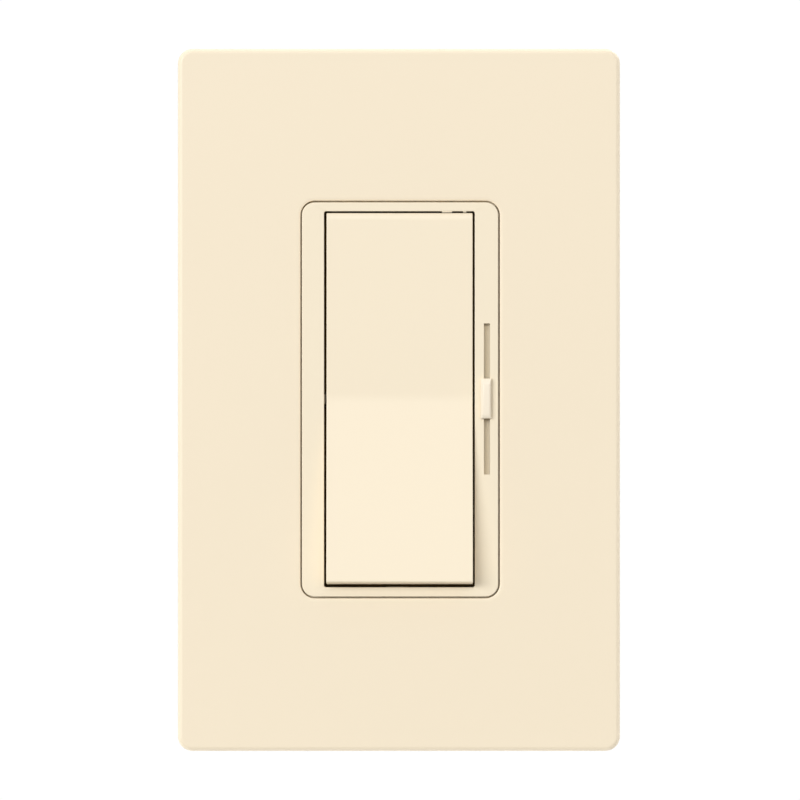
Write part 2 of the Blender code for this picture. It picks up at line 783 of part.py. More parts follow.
# (x, z) of the upper right quarter: wide in the middle for the fins, narrow at the ears
YOKE_QUARTER = [
    (31.0, 0.0), (31.0, 31.0), (29.5, 33.5), (20.0, 33.5),
    (18.5, 35.0), (18.5, 50.2), (15.5, 53.2), (0.0, 53.2),
]
YOKE_CUT_Y = (-3, 2)
YOKE_CENTRE_HOLE = around(0, 4.6)
YOKE_SLOT_Z = around(0, 12.4)
YOKE_BOX_SLOT = (9.6, 4.4, 2.19)
YOKE_PLATE_HOLE_RADIUS, YOKE_POST_HOLE_RADIUS = 1.8, 1.5
YOKE_HOOK_HALF_WIDTH, YOKE_HOOK_HALF_HEIGHT = 2.9, 0.85
FIN_LINE_X, FIN_LINE_Z, FIN_LINE_HALF = (23.0, 23.8), (-20.0, 0.0, 20.0), 8.5
TRIAC_HOLE_RADIUS, GROUND_HOLE_RADIUS = 1.75, 1.45


def yoke_outline():
    upper_left = [(-x, z) for x, z in reversed(YOKE_QUARTER)][1:]
    lower_left = [(-x, -z) for x, z in YOKE_QUARTER][1:]
    lower_right = [(x, -z) for x, z in reversed(YOKE_QUARTER)][1:-1]
    return YOKE_QUARTER + upper_left + lower_left + lower_right


def draw_yoke_cuts(mesh):
    box(mesh, YOKE_CENTRE_HOLE, YOKE_CUT_Y, YOKE_CENTRE_HOLE)
    box(mesh, SLIDER_CHANNEL_X, YOKE_CUT_Y, YOKE_SLOT_Z)
    for side in (-1, 1):
        extruded(mesh, rounded(*YOKE_BOX_SLOT, z=side * BOX_SCREW_Z), YOKE_CUT_Y)
        plate_hole = [(0, side * PLATE_SCREW_Z)]
        pins(mesh, plate_hole, YOKE_CUT_Y, YOKE_PLATE_HOLE_RADIUS, steps=16)
        hook_z = around(side * HOOK_Z, YOKE_HOOK_HALF_HEIGHT)
        for x in HOOK_X:
            box(mesh, around(x, YOKE_HOOK_HALF_WIDTH), YOKE_CUT_Y, hook_z)
        # break-off line of the fins
        for z in FIN_LINE_Z:
            box(mesh, beyond(side, *FIN_LINE_X), YOKE_CUT_Y, around(z, FIN_LINE_HALF))
    pins(mesh, POSTS, YOKE_CUT_Y, YOKE_POST_HOLE_RADIUS, steps=12)
    pins(mesh, [(TRIAC_X, TRIAC_HOLE_Z)], YOKE_CUT_Y, TRIAC_HOLE_RADIUS, steps=16)
    pins(mesh, [(GROUND_X, GROUND_Z)], YOKE_CUT_Y, GROUND_HOLE_RADIUS, steps=16)


def make_yoke():
    yoke = solid(
        "yoke",
        metal("yoke_aluminium", colour=(0.80, 0.80, 0.81), roughness=0.38),
        lambda mesh: extruded(mesh, yoke_outline(), YOKE_Y),
    )
    cut(yoke, "yoke_cuts", draw_yoke_cuts)


# ---- rear case ------------------------------------------------------------------------------------

CASE_WIDTH, CASE_HEIGHT, CASE_WALL, CASE_FRONT = 44.0, 66.0, 2.0, 0.3
CASE_INNER = (CASE_WIDTH - 2 * CASE_WALL, CASE_HEIGHT - 2 * CASE_WALL, 1.2)
# y, then the size, from the inner floor round the open front to the rounded back
CASE_STATIONS = [
    (CASE_BACK - CASE_WALL, *CASE_INNER),
    (CASE_FRONT, *CASE_INNER),
    (CASE_FRONT, CASE_WIDTH, CASE_HEIGHT, 3.0),
    (CASE_BACK - 1.5, CASE_WIDTH, CASE_HEIGHT, 3.0),
    (CASE_BACK - 0.45, CASE_WIDTH - 0.9, CASE_HEIGHT - 0.9, 2.6),
    (CASE_BACK, CASE_WIDTH - 3.0, CASE_HEIGHT - 3.0, 1.6),
]
CASE_POST_RADIUS, CASE_POST_Y = 3.1, (0.6, CASE_BACK - 1.0)
LEDGE_X, LEDGE_Z = (18.6, 20.6), (-19.0, -5.0)
LEDGE_Y = (BOARD_Y[1] + 0.3, CASE_BACK - 1.0)
# (radius, y): the screw's hole and the wider well for its head
CASE_SCREW_HOLE = [(1.55, -1), (1.55, CASE_BACK - 2.4), (2.95, CASE_BACK - 2.4), (2.95, 32)]
HOOK_ROOM_HALF, HOOK_ROOM_Y, HOOK_ROOM_Z = 3.2, (-1, 1.8), (31.5, 33.6)
LEAD_OPENING, LEAD_OPENING_Y = (25.0, 6.4, 2.0), (26, 32)
# (radius, y)
HOUSING_SCREW_PROFILE = [
    (0.9, -0.9), (1.3, -0.2), (1.3, CASE_BACK - 2.1), (2.6, CASE_BACK - 2.1),
    (2.6, CASE_BACK - 1.0), (2.0, CASE_BACK - 0.45), (1.1, CASE_BACK - 0.3),
]
RECESS_SHORT, RECESS_LONG = around(0, 0.32), around(0, 1.35)
RECESS_Y = (CASE_BACK - 1.5, CASE_BACK + 1)
LABEL, LABEL_Z, LABEL_Y = (32.0, 26.0, 1.2), 7.0, (CASE_BACK + 0.1, CASE_BACK + 0.28)
RELIEF_GAP = 0.3
RELIEF_COLLAR, RELIEF_BODY = (26.6, 8.0, 2.6), grown(LEAD_OPENING, -RELIEF_GAP)
# y, then the size: a collar inside the case, then the body that passes through its back
RELIEF_STATIONS = [
    (26.7, *RELIEF_COLLAR),
    (27.7, *RELIEF_COLLAR),
    (27.7, *RELIEF_BODY),
    (31.2, *RELIEF_BODY),
    (31.6, 23.6, 5.0, 1.4),
]
RELIEF_HOLE_RADIUS, RELIEF_HOLE_Y = LEAD_RADIUS + 0.15, (20, 35)


def draw_case(mesh):
    loft(mesh, [ring(*station) for station in CASE_STATIONS])


def draw_ledges(mesh):
    """Two blocks at the sides, behind the circuit board."""
    for side in (-1, 1):
        box(mesh, beyond(side, *LEDGE_X), LEDGE_Y, LEDGE_Z)


def draw_case_cuts(mesh):
    for x, z in POSTS:
        turned(mesh, CASE_SCREW_HOLE, (x, 0, z), steps=14)
    for x in HOOK_X:
        for side in (-1, 1):
            box(mesh, around(x, HOOK_ROOM_HALF), HOOK_ROOM_Y, beyond(side, *HOOK_ROOM_Z))
    extruded(mesh, rounded(*LEAD_OPENING, steps=3, z=LEAD_Z), LEAD_OPENING_Y)


def make_case():
    look = material("case_grey", colour=(0.10, 0.10, 0.11), roughness=0.5)
    case = solid("rear_housing", look, draw_case)
    add(
        case,
        "case_posts",
        lambda mesh: pins(mesh, POSTS, CASE_POST_Y, CASE_POST_RADIUS, steps=14),
    )
    add(case, "case_ledges", draw_ledges)
    cut(case, "case_cuts", draw_case_cuts)


def make_housing_screw(number, x, z):
    name = f"housing_screw_{number}"
    made = solid(
        name,
        metal(f"housing_screw_steel_{number}", colour=(0.55, 0.55, 0.56), roughness=0.35),
        lambda mesh: turned(mesh, HOUSING_SCREW_PROFILE, steps=16),
        origin=(x, 0, z),
    )
    # the cross recess, one arm at a time
    cut(made, name + "_recess_a", lambda mesh: box(mesh, RECESS_SHORT, RECESS_Y, RECESS_LONG))
    cut(made, name + "_recess_b", lambda mesh: box(mesh, RECESS_LONG, RECESS_Y, RECESS_SHORT))


def make_label():
    solid(
        "rating_label",
        material("label_silver", colour=(0.72, 0.72, 0.70), roughness=0.4, metallic=0.2),
        lambda mesh: extruded(mesh, rounded(*LABEL, steps=3, z=LABEL_Z), LABEL_Y),
    )


def draw_relief(mesh):
    loft(mesh, [ring(*station, steps=3, z=LEAD_Z) for station in RELIEF_STATIONS])


def make_strain_relief():
    look = material("relief_black", colour=(0.03, 0.03, 0.03), roughness=0.7)
    relief = solid("strain_relief", look, draw_relief)
    spots = [(x, LEAD_Z) for x in LEAD_X]
    cut(
        relief,
        "relief_holes",
        lambda mesh: pins(mesh, spots, RELIEF_HOLE_Y, RELIEF_HOLE_RADIUS, steps=16),
    )


# ---- circuit board and what stands on it ----------------------------------------------------------

BOARD_HOLES = (
    FILM_LEGS
    + TIMING_LEGS
    + DIAC_LEGS
    + RESISTOR_1_LEGS
    + RESISTOR_2_LEGS
    + CHOKE_LEGS
    + TRIAC_LEGS
    + POT_PINS
)
BOARD_CUT_Y, BOARD_HOLE_RADIUS = (10, 16), 0.65
BOARD_TAIL_HALF_WIDTH, BOARD_TAIL_HALF_HEIGHT = 1.4, 0.6
LEG_RADIUS, LEG_OVERLAP = 0.3, 1.0
# Bar of an axial part's leg: how far it starts in from the leg's line, and its section about the
# part's axis
BAR_START = 0.07
BAR_FRONT, BAR_BACK, BAR_BELOW, BAR_ABOVE = 0.24, 0.21, 0.17, 0.19
BEND_TOP = 0.33
BAR_OVERLAP = 0.6
# (radius, x)
RESISTOR_PROFILE = [
    (0.7, -3.0), (1.15, -2.7), (1.15, -1.9), (0.95, -1.6),
    (0.95, 1.6), (1.15, 1.9), (1.15, 2.7), (0.7, 3.0),
]
DIAC_PROFILE = [(0.6, -1.9), (0.9, -1.6), (0.9, 1.6), (0.6, 1.9)]
RESISTOR_Y, DIAC_Y = 15.6, 15.4


def draw_board_holes(mesh):
    pins(mesh, BOARD_HOLES, BOARD_CUT_Y, BOARD_HOLE_RADIUS)
    for z in SWITCH_TAIL_Z:
        z_span = around(z, BOARD_TAIL_HALF_HEIGHT)
        box(mesh, around(0, BOARD_TAIL_HALF_WIDTH), BOARD_CUT_Y, z_span)


def make_board():
    board = solid(
        "circuit_board",
        material("board_green", colour=(0.05, 0.22, 0.10), roughness=0.45),
        lambda mesh: extruded(mesh, rounded(*BOARD, steps=2), BOARD_Y),
    )
    cut(board, "board_holes", draw_board_holes)


def make_capacitor(name, look, legs, half_width, half_height, y_span, edge):
    """A block over the middle of its two legs."""
    (first_x, z), (last_x, _) = legs
    x_span = around((first_x + last_x) / 2, half_width)
    made = solid(name, look, lambda mesh: box(mesh, x_span, y_span, around(z, half_height)))
    bevel(made, edge)
    leg_y = (LEG_TIP_Y, y_span[0] + LEG_OVERLAP)
    add(made, name + "_legs", lambda mesh: pins(mesh, legs, leg_y, LEG_RADIUS))


def make_film_capacitor():
    look = material("capacitor_red", colour=(0.45, 0.09, 0.06), roughness=0.35)
    make_capacitor(
        "film_capacitor", look, FILM_LEGS,
        half_width=6.4, half_height=3.4, y_span=(14.6, 26.0), edge=0.9,
    )


def make_timing_capacitor():
    look = material("capacitor_ochre", colour=(0.62, 0.36, 0.08), roughness=0.4)
    make_capacitor(
        "timing_capacitor", look, TIMING_LEGS,
        half_width=3.7, half_height=1.8, y_span=(14.6, 21.0), edge=0.5,
    )


def make_axial(name, look, legs, profile, y):
    """A part that lies on the board between two bent legs."""
    (left, z), (right, _) = legs
    middle = (left + right) / 2
    bar_end = profile[-1][1] - BAR_OVERLAP
    made = solid(name, look, lambda mesh: turned(mesh, profile, (middle, y, z), "X", 10))

    def draw_legs(mesh):
        for x, inward in ((left, 1), (right, -1)):
            pins(mesh, [(x, z)], (LEG_TIP_Y, y + BEND_TOP), LEG_RADIUS)
            bar_x = sorted((x + inward * BAR_START, middle - inward * bar_end))
            box(mesh, bar_x, (y - BAR_FRONT, y + BAR_BACK), (z - BAR_BELOW, z + BAR_ABOVE))

    # the pin and the bar overlap at each bend
    add(made, name + "_legs", draw_legs).use_self = True


def make_resistors():
    for number, legs in enumerate((RESISTOR_1_LEGS, RESISTOR_2_LEGS), 1):
        look = resistor_tan(f"resistor_tan_{number}")
        make_axial(f"resistor_{number}", look, legs, RESISTOR_PROFILE, RESISTOR_Y)


def make_diac():
    look = material("diac_blue", colour=(0.10, 0.22, 0.45), roughness=0.2)
    make_axial("diac", look, DIAC_LEGS, DIAC_PROFILE, DIAC_Y)


# ---- choke ----------------------------------------------------------------------------------------

CHOKE = (-10.7, 20.4, 7.6)
CORE_RADIUS = 5.6
CORE_HALF_WIDTH, CORE_HALF_DEPTH, CORE_CHAMFER = 1.9, 2.6, 0.6
CORE_STEPS = 20
WINDING_TURNS, WINDING_TURN_STEPS = 14, 8
WINDING_SPREAD = 300  # degrees of the core that the winding covers
WINDING_OFFSET, WINDING_WIRE_RADIUS = 0.85, 0.34
TAIL_BEND_Y = 15.6
TAIL_SIDE, TAIL_FORWARD, TAIL_DROP = 0.3, 2.0, 0.9


def draw_core(mesh):
    inner, outer = around(CORE_RADIUS, CORE_HALF_WIDTH)
    depth, chamfer = CORE_HALF_DEPTH, CORE_CHAMFER
    section = [
        (outer, -depth + chamfer),
        (outer, depth - chamfer),
        (outer - chamfer, depth),
        (inner + chamfer, depth),
        (inner, depth - chamfer),
        (inner, -depth + chamfer),
        (inner + chamfer, -depth),
        (outer - chamfer, -depth),
    ]
    corners = [mesh.verts.new((radius, y, 0)) for radius, y in section]
    edges = [mesh.edges.new(pair) for pair in zip(corners, corners[1:] + corners[:1])]
    bmesh.ops.spin(
        mesh,
        geom=corners + edges,
        cent=(0, 0, 0),
        axis=(0, 1, 0),
        angle=2 * pi,
        steps=CORE_STEPS,
        use_merge=True,
        use_duplicate=False,
    )


def make_choke_core():
    look = material("core_grey", colour=(0.16, 0.17, 0.19), roughness=0.6)
    solid("choke_core", look, draw_core, origin=CHOKE)


def winding_path():
    """The wire's middle line round the core, with both tails running to the board."""
    path = []
    count = WINDING_TURNS * WINDING_TURN_STEPS
    # it starts and ends on the outside of the ring, either side of a gap at the bottom
    for i in range(count + 1):
        share = i / count
        around_core = radians(-90 + (360 - WINDING_SPREAD) / 2 + WINDING_SPREAD * share)
        turn = 2 * pi * (WINDING_TURNS * share)
        out, forward = cos(turn), sin(turn)
        # swells the loop from a circle towards the core's squarish section
        fit = (abs(out) ** 4 + abs(forward) ** 4) ** -0.25
        radius = CORE_RADIUS + (CORE_HALF_WIDTH + WINDING_OFFSET) * out * fit
        path.append(
            (
                CHOKE[0] + radius * cos(around_core),
                CHOKE[1] - (CORE_HALF_DEPTH + WINDING_OFFSET) * forward * fit,
                CHOKE[2] + radius * sin(around_core),
            )
        )

    def tail(end, side, leg):
        """Three points from an end of the winding to its leg's tip."""
        x, y, z = end
        return [
            (x + side * TAIL_SIDE, y - TAIL_FORWARD, z - TAIL_DROP),
            (leg[0], TAIL_BEND_Y, leg[1]),
            (leg[0], LEG_TIP_Y, leg[1]),
        ]

    head = tail(path[0], 1, CHOKE_LEGS[1])[::-1]
    return head + path + tail(path[-1], -1, CHOKE_LEGS[0])


def make_choke_winding():
    look = metal("winding_copper", colour=(0.72, 0.33, 0.14))
    wire("choke_winding", winding_path(), WINDING_WIRE_RADIUS, look, level=0)


# ---- triac ----------------------------------------------------------------------------------------

TRIAC_HOLE = (TRIAC_X, 0, TRIAC_HOLE_Z)
PAD, PAD_Z, PAD_Y = (11.6, 17.0, 0.8), 22.2, (0.25, 0.55)
TAB = (around(TRIAC_X, 5.0), (0.8, 2.1), (15.0, 30.0))
TAB_HOLE_RADIUS = 1.9
TRIAC_LEG_HALF_WIDTH, TRIAC_LEG_HALF_HEIGHT, TRIAC_LEG_BACK = 0.35, 0.25, 15.2
TAB_LEG_Y, TAB_LEG_TOP = (1.6, 2.05), 15.6
SIDE_LEG_Y, SIDE_LEG_TOP = (3.15, 3.65), 17.0
BODY_Z = 19.6
# y, then the size
BODY_STATIONS = [(2.4, 10.0, 8.6, 0.3), (3.6, 10.0, 8.6, 0.3), (5.4, 9.4, 8.0, 0.3)]
POCKET_HALF_WIDTH, POCKET_Y, POCKET_Z = 0.5, (3.0, 3.8), (14, 17.3)
# (radius, y)
TRIAC_RIVET_PROFILE = [
    (1.6, -2.5), (2.8, -2.1), (3.0, -1.6), (1.55, -1.55),
    (1.55, 2.4), (2.5, 2.45), (2.5, 2.9), (1.9, 3.3),
]


def draw_triac_leg(mesh, x, y_span, top):
    """A leg that comes down behind y_span's front and bends back through the board."""
    front, back = y_span
    lower, upper = around(TRIAC_LEG_Z, TRIAC_LEG_HALF_HEIGHT)
    outline = [
        (front, top),
        (back, top),
        (back, upper),
        (TRIAC_LEG_BACK, upper),
        (TRIAC_LEG_BACK, lower),
        (front, lower),
    ]
    extruded(mesh, outline, around(x, TRIAC_LEG_HALF_WIDTH), "X")


def make_thermal_pad():
    pad = solid(
        "thermal_pad",
        material("pad_grey", colour=(0.45, 0.45, 0.47), roughness=0.8),
        lambda mesh: extruded(mesh, rounded(*PAD, steps=2, x=TRIAC_X, z=PAD_Z), PAD_Y),
    )
    cut(
        pad,
        "pad_hole",
        lambda mesh: cylinder(mesh, TRIAC_HOLE_RADIUS, (-1, 2), TRIAC_HOLE, steps=16),
    )


def make_triac_tab():
    look = metal("tab_tin", colour=(0.70, 0.70, 0.70), roughness=0.35)
    tab = solid("triac_tab", look, lambda mesh: box(mesh, *TAB))
    cut(
        tab,
        "tab_hole",
        lambda mesh: cylinder(mesh, TAB_HOLE_RADIUS, (-1, 4), TRIAC_HOLE, steps=16),
    )
    add(tab, "tab_leg", lambda mesh: draw_triac_leg(mesh, TRIAC_X, TAB_LEG_Y, TAB_LEG_TOP))


def draw_triac_body(mesh):
    loft(mesh, [ring(*station, steps=1, x=TRIAC_X, z=BODY_Z) for station in BODY_STATIONS])


def draw_leg_pockets(mesh):
    for side in (-1, 1):
        x_span = around(TRIAC_X + side * TRIAC_PITCH, POCKET_HALF_WIDTH)
        box(mesh, x_span, POCKET_Y, POCKET_Z)


def make_triac_body():
    look = material("epoxy_black", colour=(0.03, 0.03, 0.03), roughness=0.5)
    body = solid("triac_body", look, draw_triac_body)
    cut(body, "body_pockets", draw_leg_pockets)


def make_side_leg(name, side):
    x = TRIAC_X + side * TRIAC_PITCH
    solid(
        name,
        metal(name + "_tin", colour=(0.72, 0.72, 0.72)),
        lambda mesh: draw_triac_leg(mesh, x, SIDE_LEG_Y, SIDE_LEG_TOP),
    )


def make_triac_rivet():
    solid(
        "triac_rivet",
        metal("rivet_aluminium", colour=(0.75, 0.75, 0.76)),
        lambda mesh: turned(mesh, TRIAC_RIVET_PROFILE, TRIAC_HOLE, steps=16),
    )


# ---- switch ---------------------------------------------------------------------------------------

BASE, BASE_Y = (13.0, 26.0, 1.0), (1.3, 12.0)
BASE_HOLLOW = (around(0, 5.3), (0, 10.9), around(0, 11.8))
BASE_HOLE_HALF_WIDTH, BASE_HOLE_Y, BASE_HOLE_HALF_HEIGHT = 1.3, (9, 14), 0.5
TAIL_HALF_WIDTH, TAIL_Y, TAIL_HALF_HEIGHT = 1.0, (10.3, 15.2), 0.25
COMMON_HALF_WIDTH = 3.2
# (y, z): a wedge that narrows to the fulcrum, on a flat foot
COMMON_OUTLINE = [
    (FULCRUM_Y, -0.12), (FULCRUM_Y, 0.12), (10.1, 0.9), (10.1, 3.2),
    (10.6, 3.2), (10.6, -3.2), (10.1, -3.2), (10.1, -0.9),
]
CONTACT_Z = 8.0
FIXED_HALF_WIDTH, FIXED_Y, FIXED_Z = 2.6, (10.15, 10.6), (5.2, 11.2)
FIXED_BUTTON_PROFILE = [(1.1, 9.62), (1.4, 9.75), (1.4, 10.4)]  # (radius, y)
ARM_TILT = radians(4.8)
# (y, z) along the middle of the strip
ARM_LINE = [
    (-0.30, -9.6), (-0.30, -3.6), (-0.55, -2.6), (-0.55, 2.6), (-0.30, 3.6), (-0.30, 9.6),
]
ARM_THICKNESS, ARM_HALF_WIDTH = 0.5, 2.4
ARM_HOLE_RADIUS = 0.75
# (radius, y): the head in front of the arm, the waist in its hole, the face behind
CONTACT_BUTTON_PROFILE = [
    (0.9, -0.95), (1.15, -0.7), (0.62, -0.62), (0.62, 0.0),
    (1.5, 0.02), (1.5, 0.3), (1.1, 0.5),
]
SWITCH_SIDES = (("upper", 1), ("lower", -1))


def draw_base_holes(mesh):
    for z in SWITCH_TAIL_Z:
        z_span = around(z, BASE_HOLE_HALF_HEIGHT)
        box(mesh, around(0, BASE_HOLE_HALF_WIDTH), BASE_HOLE_Y, z_span)


def make_switch_base():
    base = solid(
        "switch_base",
        material("switch_cream", colour=(0.62, 0.60, 0.52), roughness=0.5),
        lambda mesh: extruded(mesh, rounded(*BASE, steps=2), BASE_Y),
    )
    cut(base, "base_hollow", lambda mesh: box(mesh, *BASE_HOLLOW))
    cut(base, "base_holes", draw_base_holes)


def draw_tail(mesh, z):
    """A flat tail that runs back through the base and the board."""
    box(mesh, around(0, TAIL_HALF_WIDTH), TAIL_Y, around(z, TAIL_HALF_HEIGHT))


def make_common_terminal():
    common = solid(
        "common_terminal",
        brass("terminal_brass"),
        lambda mesh: extruded(mesh, COMMON_OUTLINE, around(0, COMMON_HALF_WIDTH), "X"),
    )
    add(common, "common_tail", lambda mesh: draw_tail(mesh, 0.0))


def make_fixed_contact(end, side):
    name = "fixed_contact_" + end
    spot = (0, 0, side * CONTACT_Z)
    fixed = solid(
        name,
        brass(name + "_brass"),
        lambda mesh: box(mesh, around(0, FIXED_HALF_WIDTH), FIXED_Y, beyond(side, *FIXED_Z)),
    )
    add(
        fixed,
        name + "_button",
        lambda mesh: turned(mesh, FIXED_BUTTON_PROFILE, spot, steps=16),
    )
    add(fixed, name + "_tail", lambda mesh: draw_tail(mesh, side * TAIL_PITCH))


def make_contact_arm(rocker):
    outline = leaf(ARM_LINE, ARM_THICKNESS)
    arm = solid(
        "contact_arm",
        metal("arm_bronze", colour=(0.75, 0.50, 0.28)),
        lambda mesh: extruded(mesh, outline, around(0, ARM_HALF_WIDTH), "X"),
        turn=ARM_TILT,
        parent=rocker,
    )
    spots = [(0, -CONTACT_Z), (0, CONTACT_Z)]
    cut(arm, "arm_holes", lambda mesh: pins(mesh, spots, (-2, 2), ARM_HOLE_RADIUS, steps=14))


def make_contact_button(end, side, rocker):
    name = "contact_button_" + end
    spot = (0, 0, side * CONTACT_Z)
    solid(
        name,
        metal(name + "_silver", colour=(0.82, 0.82, 0.80), roughness=0.2),
        lambda mesh: turned(mesh, CONTACT_BUTTON_PROFILE, spot, steps=16),
        turn=ARM_TILT,
        parent=rocker,
    )


# ---- leads and ground terminal --------------------------------------------------------------------

# name, x at the case, sideways drift, z of the bare end, colour
LEADS = [
    ("lead_black", LEAD_X[0], -2.5, -55.0, (0.02, 0.02, 0.02)),
    ("lead_red", LEAD_X[1], 0.5, -53.5, (0.55, 0.03, 0.02)),
    ("lead_blue", LEAD_X[2], 2.5, -54.5, (0.03, 0.10, 0.45)),
]
# share of the drift, y, z from LEAD_Z
LEAD_RUN = [
    (0, 22.0, 0), (0, 27.0, 0), (0, 32.0, 0), (0.05, 35.2, -1.6),
    (0.2, 37.0, -5.4), (0.5, 37.2, -10.5), (0.8, 36.4, -16.0),
]
LEAD_END_Y = 36.2
LEAD_STEPS, GROUND_LEAD_STEPS = 4, 5
BARE_LENGTH, BARE_RADIUS, BARE_GAP = 10.0, 0.85, 0.3
GROUND_COLOUR = (0.03, 0.30, 0.10)
# x from GROUND_X, y, z from GROUND_Z
GROUND_RUN = [
    (0, 2.2, -4.4), (0, 8.0, -4.6), (-0.5, 16.0, -2.5), (-1.0, 24.0, -3.4), (-1.2, 29.0, -7.0),
]
GROUND_SPOT = (GROUND_X, 0, GROUND_Z)
GROUND_RING_RADIUS, GROUND_RING_Y = 3.4, (0.3, 1.1)
GROUND_RING_HOLE_RADIUS = 1.5
TONGUE = (around(GROUND_X, 1.1), (0.35, 1.05), (GROUND_Z - 5.8, GROUND_Z - 2))
# (radius, y)
GROUND_RIVET_PROFILE = [
    (1.8, -1.52), (1.9, -1.36), (1.3, -1.34), (1.3, 1.35), (2.3, 1.4), (2.3, 1.8), (1.7, 2.15),
]


def smooth_run(points, steps):
    """A Catmull-Rom curve through the points."""
    line = []
    spots = [Vector(point) for point in points]
    last = len(spots) - 1
    for i in range(last):
        before, start = spots[max(i - 1, 0)], spots[i]
        end, after = spots[i + 1], spots[min(i + 2, last)]
        for k in range(steps):
            t = k / steps
            line.append(
                0.5
                * (
                    2 * start
                    + (end - before) * t
                    + (2 * before - 5 * start + 4 * end - after) * t * t
                    + (3 * start - before - 3 * end + after) * t * t * t
                )
            )
    line.append(spots[-1])
    return line


def make_lead(name, run, colour):
    """An insulated wire along the run, and the bare copper that carries on from its end."""
    look = material(name + "_pvc", colour=colour, roughness=0.45)
    wire(name, run, LEAD_RADIUS, look)
    tip = run[-1]
    way = (run[-1] - run[-2]).normalized()
    bare = [tip + way * BARE_GAP, tip + way * (BARE_LENGTH - BARE_GAP)]
    wire(name + "_end", bare, BARE_RADIUS, metal(name + "_copper", colour=(0.78, 0.42, 0.22)))


def make_power_leads():
    for name, x, drift, end_z, colour in LEADS:
        points = [(x + drift * share, y, LEAD_Z + drop) for share, y, drop in LEAD_RUN]
        points.append((x + drift, LEAD_END_Y, end_z + BARE_LENGTH))
        make_lead(name, smooth_run(points, LEAD_STEPS), colour)


def make_ground_lead():
    points = [(GROUND_X + x, y, GROUND_Z + z) for x, y, z in GROUND_RUN]
    make_lead("lead_green", smooth_run(points, GROUND_LEAD_STEPS), GROUND_COLOUR)


def make_ground_terminal():
    terminal = solid(
        "ground_terminal",
        metal("terminal_tin", colour=(0.72, 0.70, 0.66)),
        lambda mesh: cylinder(mesh, GROUND_RING_RADIUS, GROUND_RING_Y, GROUND_SPOT),
    )
    add(terminal, "ground_tongue", lambda mesh: box(mesh, *TONGUE))
    cut(
        terminal,
        "ground_hole",
        lambda mesh: cylinder(mesh, GROUND_RING_HOLE_RADIUS, (-1, 3), GROUND_SPOT, steps=16),
    )


def make_ground_rivet():
    solid(
        "ground_rivet",
        metal("ground_rivet_brass", colour=(0.78, 0.62, 0.30)),
        lambda mesh: turned(mesh, GROUND_RIVET_PROFILE, GROUND_SPOT, steps=16),
    )


# ---- assembly -------------------------------------------------------------------------------------

make_cover()
make_adapter()
make_screws()
make_bezel()

paddle_axis = empty("paddle_axis", (0, PIVOT_Y, 0), device)
make_paddle(paddle_axis)
make_plunger(paddle_axis)
make_spring(paddle_axis)

slider_axis = empty("slider_axis", (SLOT_X, 0, KNOB_Z), device)
make_knob(slider_axis)
make_carrier(slider_axis)
make_pot_lever(slider_axis)
make_pot_wiper(slider_axis)
make_pot_housing()
make_pot_element()

make_yoke()
make_case()
for number, (x, z) in enumerate(POSTS, 1):
    make_housing_screw(number, x, z)
make_label()
make_strain_relief()

make_board()
make_film_capacitor()
make_timing_capacitor()
make_resistors()
make_diac()
make_choke_core()
make_choke_winding()

make_thermal_pad()
make_triac_tab()
make_triac_body()
make_side_leg("triac_leg_left", -1)
make_side_leg("triac_leg_right", 1)
make_triac_rivet()

make_switch_base()
make_common_terminal()
for end, side in SWITCH_SIDES:
    make_fixed_contact(end, side)
contact_axis = empty("contact_axis", (0, FULCRUM_Y, 0), device)
make_contact_arm(contact_axis)
for end, side in SWITCH_SIDES:
    make_contact_button(end, side, contact_axis)

make_power_leads()
make_ground_lead()
make_ground_terminal()
make_ground_rivet()
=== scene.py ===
"""Looks of a wall dimmer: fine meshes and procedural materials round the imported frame.

The dimmer stands upright on a wall: +Z is up, +X is right as seen from the room, and the front
faces -Y. Lengths are millimetres from the middle of the bezel on the wall plane, unless a comment
says otherwise; to_world() puts them in the frame, in metres.
"""

import json
from math import cos, pi, radians, sin, tan

import bmesh
import bpy
from mathutils import Matrix, Vector


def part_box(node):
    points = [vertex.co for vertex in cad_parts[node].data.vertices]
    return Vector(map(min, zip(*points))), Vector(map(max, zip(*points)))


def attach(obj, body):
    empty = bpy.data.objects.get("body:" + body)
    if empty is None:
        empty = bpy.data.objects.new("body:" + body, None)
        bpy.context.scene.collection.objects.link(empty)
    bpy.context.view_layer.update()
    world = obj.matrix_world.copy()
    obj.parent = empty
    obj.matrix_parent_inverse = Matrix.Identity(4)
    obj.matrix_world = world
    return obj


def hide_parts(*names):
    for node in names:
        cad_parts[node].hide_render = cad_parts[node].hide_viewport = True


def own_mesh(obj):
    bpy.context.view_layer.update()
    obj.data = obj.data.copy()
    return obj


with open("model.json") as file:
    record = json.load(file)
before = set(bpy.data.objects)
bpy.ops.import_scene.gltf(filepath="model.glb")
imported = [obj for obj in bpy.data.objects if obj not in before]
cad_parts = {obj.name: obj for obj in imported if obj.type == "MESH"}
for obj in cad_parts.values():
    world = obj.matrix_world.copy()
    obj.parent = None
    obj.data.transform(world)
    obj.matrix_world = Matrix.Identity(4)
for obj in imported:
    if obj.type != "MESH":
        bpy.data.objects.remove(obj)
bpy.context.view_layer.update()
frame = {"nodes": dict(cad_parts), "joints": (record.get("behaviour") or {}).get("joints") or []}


MM = 0.001
bezel_low, bezel_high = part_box("bezel")
CENTRE = Vector(
    ((bezel_low[0] + bezel_high[0]) / 2, 0.0, (bezel_low[2] + bezel_high[2]) / 2)
)
cover_low, cover_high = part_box("cover_plate")
knob_low, knob_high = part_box("slider_knob")
carrier_low, carrier_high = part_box("slider_carrier")


def from_middle(value, axis):
    """A world coordinate in metres as millimetres from the bezel's middle."""
    return (float(value) - CENTRE[axis]) / MM


def middle_of(low, high, axis):
    return (from_middle(low[axis], axis) + from_middle(high[axis], axis)) / 2


